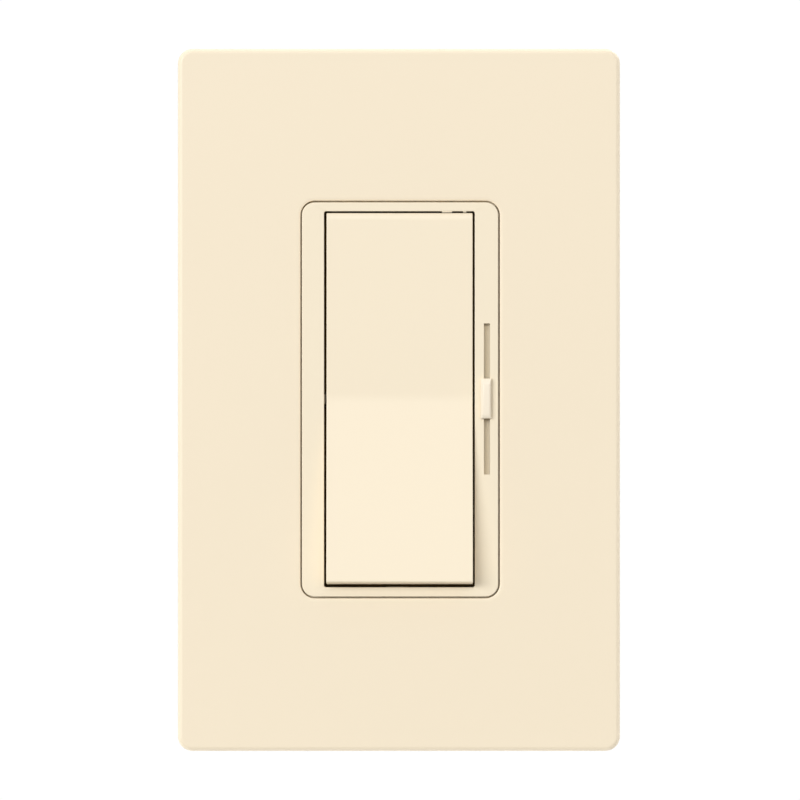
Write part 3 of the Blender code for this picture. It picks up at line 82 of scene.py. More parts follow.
def to_world(point):
    return (CENTRE[0] + point[0] * MM, point[1] * MM, CENTRE[2] + point[2] * MM)


# ---- sizes ----------------------------------------------------------------------------------------

# rounded rectangles are given as the arguments of level()
PLATE = dict(
    width=(cover_high[0] - cover_low[0]) / MM,
    height=(cover_high[2] - cover_low[2]) / MM,
    radius=2.5,
    x=middle_of(cover_low, cover_high, 0),
    z=middle_of(cover_low, cover_high, 2),
)
PLATE_DEPTH = -cover_low[1] / MM
PLATE_EDGE, PLATE_WALL = 0.85, 2.0
PLATE_INSIDE = dict(
    PLATE,
    width=PLATE["width"] - 2 * PLATE_WALL,
    height=PLATE["height"] - 2 * PLATE_WALL,
    radius=0.8,
)
WINDOW = dict(width=33.8, height=67.4, radius=2.45)
WINDOW_LIP, WINDOW_DROP = 0.70, 0.12

BEZEL = dict(width=33.26, height=66.8, radius=2.15)
BEZEL_FRONT, BEZEL_BACK = from_middle(bezel_low[1], 1), -1.6
FLANGE, FLANGE_FRONT = 0.30, -5.95
GAP_X0, GAP_X1, GAP_Z0, GAP_Z1 = -12.88, 12.65, -31.80, 31.90
GAP = dict(
    width=GAP_X1 - GAP_X0,
    height=GAP_Z1 - GAP_Z0,
    radius=0.35,
    x=(GAP_X0 + GAP_X1) / 2,
    z=(GAP_Z0 + GAP_Z1) / 2,
)
SLOT_X, SLOT_W, SLOT_Z0, SLOT_Z1 = 14.71, 1.03, -12.7, 12.9

# the paddle's two front faces lean ROCK degrees away from a crease at half height
PIVOT_Y = next(j for j in frame["joints"] if j["name"] == "paddle_rock")["pos_m"][1] / MM
FACE, HALF, ROCK = 5.0, 31.3, 3.2
LEAN = radians(ROCK)
CREASE_Y = -(FACE / cos(LEAN))
CREASE_BLEND = 0.8
PADDLE_X0, PADDLE_X1 = -12.47, 12.30
SKIRT, SHELL = 5.9, 1.3
SWELL, SWELL_BACK = 0.17, 3.5

SPRING_FROM, SPRING_LONG, SPRING_TURNS = -2.05, 5.15, 6
SPRING_RADIUS, SPRING_WIRE, SPRING_TRAVEL = 1.35, 0.2, 0.63

KNOB_X = middle_of(knob_low, knob_high, 0)
KNOB_Z = middle_of(knob_low, knob_high, 2)
CARRIER_Z = middle_of(carrier_low, carrier_high, 2)
CARRIER_HALF = (carrier_high[2] - carrier_low[2]) / MM / 2

CASE = dict(width=44.0, height=66.0, radius=3.0, steps=12)
CASE_FRONT, CASE_BACK, CASE_WALL, CASE_EDGE = 0.3, 30.0, 2.0, 1.5
CASE_INSIDE = dict(
    width=CASE["width"] - 2 * CASE_WALL,
    height=CASE["height"] - 2 * CASE_WALL,
    radius=1.2,
    steps=12,
)
POST_X, POST_Z = 17.9, 28.0
HOOK_X = (-6.0, 6.0)
POSTS = [(x, z) for z in (POST_Z, -POST_Z) for x in (-POST_X, POST_X)]

BOX_SCREW_Z, PLATE_SCREW_Z, THREAD_PITCH = 41.65, 48.4, 0.794
LEAD_X, LEAD_Z, LEAD_RADIUS = (-9.0, 0.0, 9.0), -22.5, 1.35
LEAD_BORE, LEAD_MOUTH, BARE = 0.92, 1.5, 10.0
GROUND_X, GROUND_Z = -12.5, -40.5

# ---- shader nodes ---------------------------------------------------------------------------------


def new_node(tree, kind, **values):
    node = tree.nodes.new(kind)
    for key, value in values.items():
        setattr(node, key, value)
    return node


def map_range(tree, value, span, to, interpolation="LINEAR"):
    """Maps value from the range span to the range to."""
    node = new_node(tree, "ShaderNodeMapRange", interpolation_type=interpolation)
    for key, number in zip(("From Min", "From Max", "To Min", "To Max"), (*span, *to)):
        node.inputs[key].default_value = number
    tree.links.new(value, node.inputs["Value"])
    return node.outputs["Result"]


def math_node(tree, kind, first, second=None):
    """A sum on the socket first; second is a socket, a number or nothing."""
    node = new_node(tree, "ShaderNodeMath", operation=kind)
    tree.links.new(first, node.inputs[0])
    if isinstance(second, bpy.types.NodeSocket):
        tree.links.new(second, node.inputs[1])
    elif second is not None:
        node.inputs[1].default_value = second
    return node.outputs["Value"]


def linear(red, green, blue):
    """sRGB 0..255 to the linear values that the shaders use."""

    def one(value):
        value /= 255
        return value / 12.92 if value <= 0.04045 else ((value + 0.055) / 1.055) ** 2.4

    return (one(red), one(green), one(blue), 1)


def shade(colour, factor):
    return tuple(min(1, part * factor) for part in colour[:3]) + (1,)


class Look:
    """A node material under construction. Its textures lie in object coordinates."""

    def __init__(self, name, colour, roughness, metallic=0.0):
        self.mat = bpy.data.materials.new(name)
        self.mat.use_nodes = True
        self.tree = self.mat.node_tree
        self.shader = self.tree.nodes["Principled BSDF"]
        self.shader.inputs["Base Color"].default_value = colour
        self.shader.inputs["Roughness"].default_value = roughness
        self.shader.inputs["Metallic"].default_value = metallic
        self.shader.inputs["IOR"].default_value = 1.46
        self.colour = colour
        self.normal = None
        self.where = self.add("ShaderNodeTexCoord").outputs["Object"]
        self.mat.diffuse_color = colour

    def add(self, kind, **values):
        return new_node(self.tree, kind, **values)

    def link(self, source, target):
        self.tree.links.new(source, target)

    def stretched(self, scale, turn=(0, 0, 0)):
        node = self.add("ShaderNodeMapping")
        node.inputs["Scale"].default_value = scale
        node.inputs["Rotation"].default_value = turn
        self.link(self.where, node.inputs["Vector"])
        return node.outputs["Vector"]

    def noise(self, size_mm, detail=3, rough=0.5, vector=None):
        node = self.add("ShaderNodeTexNoise")
        node.inputs["Scale"].default_value = 1000.0 / size_mm
        node.inputs["Detail"].default_value = detail
        node.inputs["Roughness"].default_value = rough
        self.link(vector or self.where, node.inputs["Vector"])
        return node.outputs["Fac"]

    def ramp(self, value, span, to):
        return map_range(self.tree, value, span, to)

    def maths(self, kind, first, second=None):
        return math_node(self.tree, kind, first, second)

    def world_position(self):
        """The sockets of the world position's three parts, in metres."""
        split = self.add("ShaderNodeSeparateXYZ")
        self.link(self.add("ShaderNodeNewGeometry").outputs["Position"], split.inputs[0])
        return split.outputs

    def round_middle(self, place, half_width, half_height):
        """Two masks, 1 within the half width and within the half height."""
        across = self.maths(
            "LESS_THAN", self.maths("ABSOLUTE", place["X"]), half_width * MM
        )
        off = self.maths("SUBTRACT", place["Z"], CENTRE[2])
        upright = self.maths("LESS_THAN", self.maths("ABSOLUTE", off), half_height * MM)
        return across, upright

    def tint(self, mask, other):
        """Goes towards another colour where the mask is 1."""
        node = self.add("ShaderNodeMix", data_type="RGBA")
        # inputs 6 and 7 and output 2 are the node's colour sockets
        self.link(mask, node.inputs["Factor"])
        source = self.shader.inputs["Base Color"]
        if source.is_linked:
            self.link(source.links[0].from_socket, node.inputs[6])
        else:
            node.inputs[6].default_value = self.colour
        node.inputs[7].default_value = other
        self.link(node.outputs[2], source)

    def rough(self, mask, low, high):
        mapped = self.ramp(mask, span=(0.3, 0.7), to=(low, high))
        self.link(mapped, self.shader.inputs["Roughness"])

    def bump(self, height, strength, depth_mm):
        """Adds a bump on top of those already there."""
        node = self.add("ShaderNodeBump")
        node.inputs["Strength"].default_value = strength
        node.inputs["Distance"].default_value = depth_mm * MM
        self.link(height, node.inputs["Height"])
        if self.normal is not None:
            self.link(self.normal, node.inputs["Normal"])
        self.normal = node.outputs["Normal"]
        self.link(self.normal, self.shader.inputs["Normal"])

    def blotch(self, size_mm, colour, amount, span=(0.4, 0.7), detail=3):
        """Patches of another colour; span is the noise range over which they set in."""
        self.tint(self.ramp(self.noise(size_mm, detail), span, (0.0, amount)), colour)

    def gloss(self, size_mm, low, high, detail=3):
        """Roughness that drifts between low and high."""
        self.rough(self.noise(size_mm, detail), low, high)

    def grain(self, size_mm, strength, depth_mm, detail=2):
        self.bump(self.noise(size_mm, detail), strength, depth_mm)

    def worn_edges(self, colour, radius_mm=0.25, amount=0.5):
        """Another colour where the surface turns a corner, broken up by noise."""
        soft = self.add("ShaderNodeBevel", samples=3)
        soft.inputs["Radius"].default_value = radius_mm * MM
        real = self.add("ShaderNodeNewGeometry")
        dot = self.add("ShaderNodeVectorMath", operation="DOT_PRODUCT")
        self.link(soft.outputs["Normal"], dot.inputs[0])
        self.link(real.outputs["Normal"], dot.inputs[1])
        edge = self.ramp(dot.outputs["Value"], span=(0.985, 0.86), to=(0.0, amount))
        broken = self.ramp(self.noise(1.3, detail=4), span=(0.35, 0.6), to=(0.25, 1.0))
        self.tint(self.maths("MULTIPLY", edge, broken), colour)


# ---- materials ------------------------------------------------------------------------------------

# colour of the painted shade in the gap round the paddle and on the yoke seen through it
PAINTED_SHADE = (0.090, 0.050, 0.012, 1)
# painted shade: the walls of the gap round the paddle darken between the depths start and full
SHADED_RECESS = dict(
    start=BEZEL_FRONT + 0.35, full=BEZEL_FRONT + 1.0, half_width=13.35, half_height=32.4
)


def moulded(
    name, colour, roughness, grain_mm, grain, mottled, wear=None, shaded_recess=None, sheen=0.12
):
    """Injection-moulded plastic: faint colour drift, a fine skin and flow marks, and painted shade
    down the walls of a recess if one is given.
    """
    look = Look(name, colour, roughness)
    look.blotch(28.0, shade(colour, 1 - 3 * mottled), amount=0.55, span=(0.35, 0.68))
    look.gloss(2.6, low=roughness * (1 - sheen), high=roughness * (1 + sheen), detail=4)
    look.grain(grain_mm, strength=grain, depth_mm=0.02)
    look.grain(9.0, strength=0.012, depth_mm=0.2)
    if wear:
        look.worn_edges(wear)
    # painted shade: darker with depth below the front, inside the middle of the dimmer
    if shaded_recess:
        place = look.world_position()
        depths = (shaded_recess["start"] * MM, shaded_recess["full"] * MM)
        sunk_shade = look.ramp(place["Y"], span=depths, to=(0.0, 1.0))
        across, upright = look.round_middle(
            place, shaded_recess["half_width"], shaded_recess["half_height"]
        )
        within = look.maths("MULTIPLY", across, upright)
        look.tint(look.maths("MULTIPLY", sunk_shade, within), PAINTED_SHADE)
    return look.mat


def rolled(look, along, dull, bright, dirt, low, high, brushed):
    """Fine parallel lines along an axis and a duller film in patches."""
    stretch = {"X": (0.03, 1, 1), "Y": (1, 0.03, 1), "Z": (1, 1, 0.03)}[along]
    lines = look.noise(0.25, detail=4, rough=0.6, vector=look.stretched(stretch))
    patches = look.noise(7.0, detail=4)
    look.tint(look.ramp(patches, span=(0.42, 0.75), to=(0.0, dirt)), dull)
    look.tint(look.ramp(lines, span=(0.35, 0.65), to=(0.0, 0.18)), bright)
    look.rough(patches, low, high)
    look.bump(lines, brushed, depth_mm=0.01)


def metal(name, colour, roughness, along, brushed, dirt):
    """Rolled or stamped metal."""
    look = Look(name, colour, roughness, metallic=1.0)
    rolled(
        look,
        along,
        dull=shade(colour, 0.62),
        bright=shade(colour, 1.15),
        dirt=dirt,
        low=roughness * 0.8,
        high=roughness * 1.35,
        brushed=brushed,
    )
    return look.mat


def yoke_sheet():
    """The yoke's sheet metal, with painted shade on the face behind the paddle."""
    look = Look("yoke_sheet", (0.80, 0.80, 0.81, 1), 0.34, metallic=1.0)
    rolled(
        look,
        "Z",
        dull=(0.50, 0.50, 0.50, 1),
        bright=(0.92, 0.92, 0.93, 1),
        dirt=0.22,
        low=0.30,
        high=0.46,
        brushed=0.14,
    )
    # painted shade on the yoke's front face behind the paddle, seen through the gaps
    place = look.world_position()
    front = look.maths("LESS_THAN", place["Y"], -1.0 * MM)
    across, upright = look.round_middle(place, half_width=16, half_height=32.7)
    painted_shade_face = look.maths("MULTIPLY", look.maths("MULTIPLY", front, across), upright)
    look.tint(painted_shade_face, PAINTED_SHADE)
    return look.mat


def screw_paint():
    """Enamel on a plate screw's head, worn through to steel at the slot and rim."""
    look = Look("screw_enamel", linear(236, 222, 196), 0.34)
    look.blotch(1.1, linear(206, 192, 168), amount=0.25, span=(0.55, 0.72), detail=4)
    look.gloss(0.8, low=0.28, high=0.42)
    look.grain(0.35, strength=0.06, depth_mm=0.03)
    look.worn_edges(linear(170, 168, 162), radius_mm=0.18, amount=0.8)
    return look.mat


def pvc(name, colour):
    """Cable insulation: faint patches, a fine grain and a soft sheen."""
    look = Look(name, colour, 0.38)
    look.blotch(3.0, shade(colour, 0.75), amount=0.35)
    look.gloss(1.4, low=0.32, high=0.46)
    look.grain(0.45, strength=0.10, depth_mm=0.03, detail=3)
    return look.mat


def fibre():
    """Pressed fibre with long dark flecks."""
    look = Look("pressed_fibre", linear(150, 112, 74), 0.85)
    vector = look.stretched((0.25, 1, 1), turn=(0, 0.6, 0))
    flecks = look.noise(0.35, detail=5, rough=0.7, vector=vector)
    look.tint(look.ramp(flecks, span=(0.45, 0.62), to=(0.0, 0.8)), linear(106, 74, 46))
    look.bump(flecks, strength=0.35, depth_mm=0.05)
    return look.mat


def foil():
    """Silvery label foil with a fine grain across it."""
    look = Look("label_foil", linear(196, 197, 195), 0.38, metallic=0.25)
    grain = look.noise(0.4, detail=4, rough=0.6, vector=look.stretched((0.05, 1, 1)))
    look.tint(look.ramp(grain, span=(0.4, 0.65), to=(0.0, 0.25)), linear(170, 171, 169))
    look.gloss(3.0, low=0.28, high=0.42)
    look.bump(grain, strength=0.05, depth_mm=0.01)
    return look.mat


def board_mask():
    """Solder mask over copper: the tracks show as a paler net under the green."""
    look = Look("solder_mask", linear(28, 92, 52), 0.30)
    cells = look.add(
        "ShaderNodeTexVoronoi", feature="DISTANCE_TO_EDGE", distance="CHEBYCHEV"
    )
    cells.inputs["Scale"].default_value = 260
    look.link(look.where, cells.inputs["Vector"])
    tracks = look.ramp(cells.outputs["Distance"], span=(0.06, 0.10), to=(1.0, 0.0))
    look.tint(tracks, linear(58, 132, 78))
    look.blotch(0.5, linear(18, 66, 38), amount=0.25, span=(0.45, 0.7))
    look.bump(tracks, strength=0.2, depth_mm=0.03)
    return look.mat


def dipped(name, colour):
    """A dipped lacquer skin with a slightly uneven gloss."""
    look = Look(name, colour, 0.22)
    look.blotch(2.2, shade(colour, 0.7), amount=0.4)
    look.gloss(1.8, low=0.16, high=0.32)
    look.grain(1.6, strength=0.12, depth_mm=0.10)
    return look.mat


# place along X from the resistor's middle, colour
BANDS = (
    (-1.5, linear(120, 50, 24)),
    (-0.6, linear(24, 22, 22)),
    (0.3, linear(206, 92, 24)),
    (1.6, linear(196, 160, 70)),
)
BAND_HALF = 0.22


def banded(name):
    """A resistor's lacquer with coloured rings round it."""
    look = Look(name, linear(205, 178, 138), 0.35)
    split = look.add("ShaderNodeSeparateXYZ")
    look.link(look.where, split.inputs[0])
    low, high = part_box(name)
    middle = (low[0] + high[0]) / 2
    for offset, colour in BANDS:
        away = look.maths("SUBTRACT", split.outputs["X"], middle + offset * MM)
        ring = look.maths("LESS_THAN", look.maths("ABSOLUTE", away), BAND_HALF * MM)
        look.tint(ring, colour)
    look.gloss(0.8, low=0.28, high=0.42)
    look.grain(0.6, strength=0.08, depth_mm=0.05)
    return look.mat


def enamelled():
    look = Look("enamelled_copper", (0.70, 0.25, 0.10, 1), 0.24, metallic=0.9)
    look.blotch(1.2, (0.42, 0.14, 0.06, 1), amount=0.5, span=(0.45, 0.7))
    look.gloss(0.6, low=0.18, high=0.34)
    look.grain(0.25, strength=0.05, depth_mm=0.02)
    return look.mat


def ferrite():
    """Yellow core paint, chipped at the edges."""
    look = Look("core_paint", linear(208, 186, 70), 0.45)
    look.blotch(1.0, linear(172, 150, 48), amount=0.7, span=(0.5, 0.66), detail=4)
    look.grain(0.5, strength=0.25, depth_mm=0.06, detail=3)
    look.worn_edges(linear(96, 96, 92), radius_mm=0.3, amount=0.6)
    return look.mat


def rubbery(name, colour):
    look = Look(name, colour, 0.7)
    look.blotch(1.5, shade(colour, 0.7), amount=0.4, detail=4)
    look.grain(0.3, strength=0.25, depth_mm=0.05, detail=3)
    return look.mat


# name: colour, roughness, size of the grain, its strength, depth of the colour drift, extras
PLASTICS = {
    "ivory_cover": (linear(245.5, 231, 204.5), 0.40, 0.20, 0.045, 0.003, {}),
    "ivory_bezel": (
        linear(246, 232.5, 206), 0.34, 0.20, 0.03, 0.003, dict(shaded_recess=SHADED_RECESS)
    ),
    "ivory_paddle": (
        linear(247, 233, 206.5), 0.31, 0.25, 0.015, 0.003, dict(shaded_recess=SHADED_RECESS, sheen=0.06)
    ),
    "ivory_knob": (linear(250, 238, 216), 0.31, 0.25, 0.02, 0.003, dict(sheen=0.06)),
    "beige_carrier": (linear(228, 217, 193), 0.5, 0.3, 0.05, 0.01, {}),
    "adapter_plastic": (
        linear(228, 226, 219), 0.55, 0.35, 0.10, 0.02, dict(wear=linear(244, 243, 238))
    ),
    "case_plastic": (
        linear(58, 59, 61), 0.46, 0.30, 0.28, 0.10, dict(wear=linear(112, 112, 112))
    ),
    "cream_plastic": (linear(205, 200, 182), 0.5, 0.3, 0.08, 0.03, {}),
    "black_plastic": (linear(38, 38, 39), 0.42, 0.3, 0.12, 0.08, {}),
    "acetal_plastic": (linear(226, 226, 218), 0.35, 0.3, 0.04, 0.02, {}),
}
# name: colour, roughness, axis of the lines, their strength, amount of dull film
METALS = {
    "rivet_metal": ((0.78, 0.78, 0.79, 1), 0.37, "X", 0.08, 0.18),
    "zinc_plate": ((0.66, 0.66, 0.66, 1), 0.37, "Y", 0.08, 0.30),
    "tin_plate": ((0.72, 0.72, 0.71, 1), 0.37, "X", 0.08, 0.22),
    "can_steel": ((0.62, 0.62, 0.62, 1), 0.38, "Z", 0.10, 0.22),
    "brass_sheet": ((0.83, 0.62, 0.28, 1), 0.37, "Z", 0.10, 0.28),
    "bronze_strip": ((0.76, 0.48, 0.27, 1), 0.37, "Z", 0.10, 0.25),
    "silver_contact": ((0.86, 0.86, 0.83, 1), 0.22, "X", 0.05, 0.20),
    "steel_wire": ((0.52, 0.52, 0.54, 1), 0.37, "Y", 0.06, 0.15),
    "bare_copper": ((0.86, 0.42, 0.25, 1), 0.37, "Z", 0.06, 0.30),
}
looks = {name: moulded(name, *row, **extras) for name, (*row, extras) in PLASTICS.items()}
looks.update({name: metal(name, *row) for name, row in METALS.items()})
screw_enamel = screw_paint()
pressed_fibre = fibre()
label_foil = foil()
relief_rubber = rubbery("relief_rubber", linear(40, 40, 41))

# ---- shapes ---------------------------------------------------------------------------------------


def rounded(width, height, radius, steps=10, x=0.0, z=0.0):
    """The (x, z) outline of a rounded rectangle round the middle x, z."""
    points = []
    for side_x, side_z, start in ((1, 1, 0), (-1, 1, 90), (-1, -1, 180), (1, -1, 270)):
        for i in range(steps + 1):
            angle = radians(start + 90 * i / steps)
            points.append(
                (
                    x + side_x * (width / 2 - radius) + radius * cos(angle),
                    z + side_z * (height / 2 - radius) + radius * sin(angle),
                )
            )
    return points


def level(y, width, height, radius, inset=0.0, steps=10, x=0.0, z=0.0):
    """A rounded rectangle at depth y, drawn in by inset all round."""
    outline = rounded(width - 2 * inset, height - 2 * inset, radius - inset, steps, x, z)
    return [(across, y, up) for across, up in outline]


def loft(shape, rings, closed=False):
    """Skins the rings; closed joins the last to the first, otherwise both ends are capped."""
    rows = [[shape.verts.new(point) for point in ring] for ring in rings]
    count = len(rows[0])
    pairs = list(zip(rows, rows[1:])) + ([(rows[-1], rows[0])] if closed else [])
    for one, other in pairs:
        for i in range(count):
            j = (i + 1) % count
            shape.faces.new((one[i], one[j], other[j], other[i]))
    if not closed:
        shape.faces.new(rows[0][::-1])
        shape.faces.new(rows[-1])


def box(shape, x0, x1, y0, y1, z0, z1):
    made = bmesh.ops.create_cube(shape, size=1)
    bmesh.ops.scale(shape, vec=(x1 - x0, y1 - y0, z1 - z0), verts=made["verts"])
    middle = ((x0 + x1) / 2, (y0 + y1) / 2, (z0 + z1) / 2)
    bmesh.ops.translate(shape, vec=middle, verts=made["verts"])


def extruded(shape, outline, along, start, end):
    """An (x, z) outline pulled along Y, or a (y, z) outline pulled along X."""
    if along == "Y":
        ring = [shape.verts.new((u, start, v)) for u, v in outline]
        way = Vector((0, end - start, 0))
    else:
        ring = [shape.verts.new((start, u, v)) for u, v in outline]
        way = Vector((end - start, 0, 0))
    face = shape.faces.new(ring)
    out = bmesh.ops.extrude_face_region(shape, geom=[face], use_keep_orig=True)
    moved = [part for part in out["geom"] if isinstance(part, bmesh.types.BMVert)]
    bmesh.ops.translate(shape, vec=way, verts=moved)


def round_ring(place, radius, sides, shift=0.0):
    """A circle at place, a (point, way, out, side) tuple, shifted along the way."""
    point, way, out, side = place
    return [
        point
        + way * shift
        + (out * cos(2 * pi * i / sides) + side * sin(2 * pi * i / sides)) * radius
        for i in range(sides)
    ]


# axis: its direction, and the direction in which a ring starts
AXES = {
    "X": (Vector((1, 0, 0)), Vector((0, 0, 1))),
    "Y": (Vector((0, 1, 0)), Vector((1, 0, 0))),
}


def turned(shape, profile, steps, centre=(0, 0, 0), axis="Y"):
    """A solid of revolution; profile is (radius, place along the axis)."""
    line, out = AXES[axis]
    place = (Vector(centre), line, out, line.cross(out))
    loft(shape, [round_ring(place, radius, steps, along) for radius, along in profile])


def quarter(radius, steps):
    """(inset, rise) of a quarter round from a side wall to its face."""
    return [
        (radius * (1 - cos(pi / 2 * i / steps)), radius * sin(pi / 2 * i / steps))
        for i in range(steps + 1)
    ]


def carried(points):
    """Places for round_ring() along points, carried along without twist."""
    points = [Vector(point) for point in points]
    way = (points[1] - points[0]).normalized()
    out = way.orthogonal().normalized()
    last = len(points) - 1
    places = []
    for i, point in enumerate(points):
        step = (points[min(i + 1, last)] - points[max(i - 1, 0)]).normalized()
        out = way.rotation_difference(step) @ out
        out = (out - step * out.dot(step)).normalized()
        way = step
        places.append((point, way, out, way.cross(out)))
    return places


def sweep(shape, points, radius, sides):
    """A round wire along points, with slightly rounded ends."""
    first, *inner, last = carried(points)
    rounding = 0.3
    tip, shoulder = radius * (1 - rounding), radius * rounding * 0.6
    rings = [round_ring(first, tip, sides), round_ring(first, radius, sides, shoulder)]
    rings += [round_ring(place, radius, sides) for place in inner]
    rings += [round_ring(last, radius, sides, -shoulder), round_ring(last, tip, sides)]
    loft(shape, rings)


def shade_by_angle(mesh, angle=32):
    """Smooth shading, sharp at edges over angle degrees."""
    mesh.shade_smooth()
    mesh.set_sharp_from_angle(angle=radians(angle))


def drawn(name, look, draw, turn=0.0, pivot=(0, 0, 0), smooth=32, weld=True):
    """A mesh object in the world. With turn, the shape is drawn round the origin, turned
    about X and then moved to pivot."""
    shape = bmesh.new()
    draw(shape)
    if weld:
        bmesh.ops.remove_doubles(shape, verts=shape.verts, dist=0.0005)
    bmesh.ops.recalc_face_normals(shape, faces=shape.faces)
    if turn:
        spin = Matrix.Translation(Vector(pivot)) @ Matrix.Rotation(turn, 4, "X")
        bmesh.ops.transform(shape, matrix=spin, verts=shape.verts)
    for vert in shape.verts:
        vert.co = Vector(to_world(vert.co))
    mesh = bpy.data.meshes.new(name)
    shape.to_mesh(mesh)
    shape.free()
    made = bpy.data.objects.new(name, mesh)
    bpy.context.scene.collection.objects.link(made)
    if look:
        mesh.materials.append(look)
    if smooth:
        shade_by_angle(mesh, smooth)
    return made


def bake(target):
    """Applies the object's modifiers to its mesh."""
    bpy.context.view_layer.update()
    graph = bpy.context.evaluated_depsgraph_get()
    fixed = bpy.data.meshes.new_from_object(target.evaluated_get(graph))
    old = target.data
    target.modifiers.clear()
    target.data = fixed
    fixed.name = target.name
    bpy.data.meshes.remove(old)


def cut(target, draw, operation="DIFFERENCE", **pose):
    """Cuts a drawn shape out at once, and leaves no cutter behind."""
    tool = drawn("tool", None, draw, smooth=0, **pose)
    step = target.modifiers.new("cut", "BOOLEAN")
    step.operation, step.solver, step.object = operation, "EXACT", tool
    bake(target)
    bpy.data.objects.remove(tool, do_unlink=True)


def join(target, draw, **pose):
    cut(target, draw, "UNION", **pose)


def edge_bevel(target, width, segments, angle):
    step = target.modifiers.new("edge", "BEVEL")
    step.width = width * MM
    step.segments = segments
    step.limit_method = "ANGLE"
    step.angle_limit = radians(angle)
    return step


def round_edges(target, width, segments, angle):
    """Rolls the sharp edges over and evens the shading beside them."""
    step = edge_bevel(target, width, segments, angle)
    step.use_clamp_overlap = True
    step.harden_normals = False
    bake(target)
    shade_by_angle(target.data, 40)


def tidy(piece):
    """Welds points that fell together in a cut, and closes any facet that a cut left open."""
    shape = bmesh.new()
    shape.from_mesh(piece.data)
    bmesh.ops.remove_doubles(shape, verts=shape.verts, dist=0.0000015)
    bmesh.ops.dissolve_degenerate(shape, dist=0.0000002, edges=shape.edges)
    opened = [edge for edge in shape.edges if edge.is_boundary]
    if opened:
        for face in bmesh.ops.holes_fill(shape, edges=opened, sides=8)["faces"]:
            face.smooth = True
        bmesh.ops.recalc_face_normals(shape, faces=shape.faces)
    shape.to_mesh(piece.data)
    shape.free()


def place(piece, body, node, slot):
    """Puts the piece in the frame instead of node, riding on body."""
    tidy(piece)
    # large faces keep their own flat normals beside the small rounded ones
    even = piece.modifiers.new("even", "WEIGHTED_NORMAL")
    even.mode, even.weight, even.keep_sharp = "FACE_AREA", 50, True
    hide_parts(node)
    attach(piece, body)


# ---- cover plate ----------------------------------------------------------------------------------


def draw_cover(shape):
    rings = [
        level(0, **PLATE_INSIDE),
        level(0, **PLATE, inset=0.05),
        level(-0.08, **PLATE),
    ]
    for inset, rise in quarter(PLATE_EDGE, 8):
        rings.append(level(-(PLATE_DEPTH - PLATE_EDGE) - rise, **PLATE, inset=inset))
    # the window's edge rolls in over a flat ellipse
    for i in range(11):
        angle = pi / 2 * i / 10
        depth = -PLATE_DEPTH + WINDOW_DROP * (1 - cos(angle))
        rings.append(level(depth, **WINDOW, inset=-WINDOW_LIP * (1 - sin(angle))))
    # chamfered behind, where the bezel's flange closes the seam
    rings.append(level(-6.15, **WINDOW))
    rings.append(level(-5.5, **WINDOW, inset=-0.5))
    rings.append(level(-5.5, **PLATE_INSIDE))
    loft(shape, rings, closed=True)


def draw_clips(shape):
    """Two tapered clips on each inner side wall."""
    for side in (-1, 1):
        for z in (-32.0, 32.0):
            x = PLATE["x"] + side * (PLATE["width"] / 2 - PLATE_WALL)
            outline = [
                (x + side * 0.4, z - 4),
                (x + side * 0.4, z + 4),
                (x - side * 0.8, z + 3),
                (x - side * 0.8, z - 3),
            ]
            extruded(shape, outline, "Y", -1.3, -0.4)


cover = drawn("cover", looks["ivory_cover"], draw_cover)
join(cover, draw_clips)
place(cover, "base", "cover_plate", slot="cover_ivory")

# ---- bezel ----------------------------------------------------------------------------------------


def draw_bezel(shape):
    rings = [
        level(BEZEL_BACK, **BEZEL, inset=-FLANGE),
        level(FLANGE_FRONT, **BEZEL, inset=-FLANGE),
        level(FLANGE_FRONT, **BEZEL),
    ]
    for i in range(9):
        angle = pi / 2 * i / 8
        depth = BEZEL_FRONT + 0.13 * (1 - sin(angle))
        rings.append(level(depth, **BEZEL, inset=0.16 * (1 - cos(angle))))
    edge = 0.12
    for inset, rise in reversed(quarter(edge, 3)):
        rings.append(level(BEZEL_FRONT + edge - rise, **GAP, inset=-inset))
    rings.append(level(BEZEL_BACK, **GAP))
    loft(shape, rings, closed=True)


def draw_hooks(shape):
    """Tabs on the back, two above and two below the gap."""
    for x in HOOK_X:
        for side in (-1, 1):
            z = side * 32.65
            box(shape, x - 2.5, x + 2.5, BEZEL_BACK - 1.0, 1.2, z - 0.5, z + 0.5)


def draw_channels(shape):
    """Hollows behind the right and the left side."""
    box(shape, 13.40, 16.0, BEZEL_FRONT + 1.0, 0, -32.8, 32.8)
    box(shape, -16.0, -13.60, BEZEL_FRONT + 1.3, 0, -32.0, 32.0)


def draw_slot(shape):
    outline = rounded(
        SLOT_W, SLOT_Z1 - SLOT_Z0, 0.12, steps=4, x=SLOT_X, z=(SLOT_Z0 + SLOT_Z1) / 2
    )
    extruded(shape, outline, "Y", BEZEL_FRONT - 1, BEZEL_FRONT + 2)


def draw_trunnion_holes(shape):
    for start, end in ((-13.25, -12.2), (12.2, 13.22)):
        turned(shape, [(1.42, start), (1.42, end)], 32, centre=(0, PIVOT_Y, 0), axis="X")


def draw_gap_pads(shape):
    """Small pads on the left, top and bottom walls of the gap, just under the surface."""
    start, end = BEZEL_FRONT + 0.7, BEZEL_FRONT + 2.6
    box(shape, GAP_X0 - 0.3, GAP_X0 + 0.16, start, end, -0.75, 0.9)
    for x0, x1 in ((7.1, 8.8), (10.7, 11.2)):
        box(shape, x0, x1, BEZEL_FRONT + 0.15, end, GAP_Z1 - 0.18, GAP_Z1 + 0.3)
    for x0, x1 in ((-2.4, 1.3), (7.3, 7.6)):
        box(shape, x0, x1, start, end, GAP_Z0 - 0.3, GAP_Z0 + 0.05)


bezel = drawn("bezel_frame", looks["ivory_bezel"], draw_bezel)
join(bezel, draw_hooks)
cut(bezel, draw_channels)
cut(bezel, draw_slot)
cut(bezel, draw_trunnion_holes)
join(bezel, draw_gap_pads)
shade_by_angle(bezel.data)
place(bezel, "base", "bezel", slot="bezel_ivory")

# ---- paddle, drawn in its middle pose round the pivot ---------------------------------------------

REST = -LEAN
ON_PIVOT = dict(turn=REST, pivot=(0, PIVOT_Y, 0))


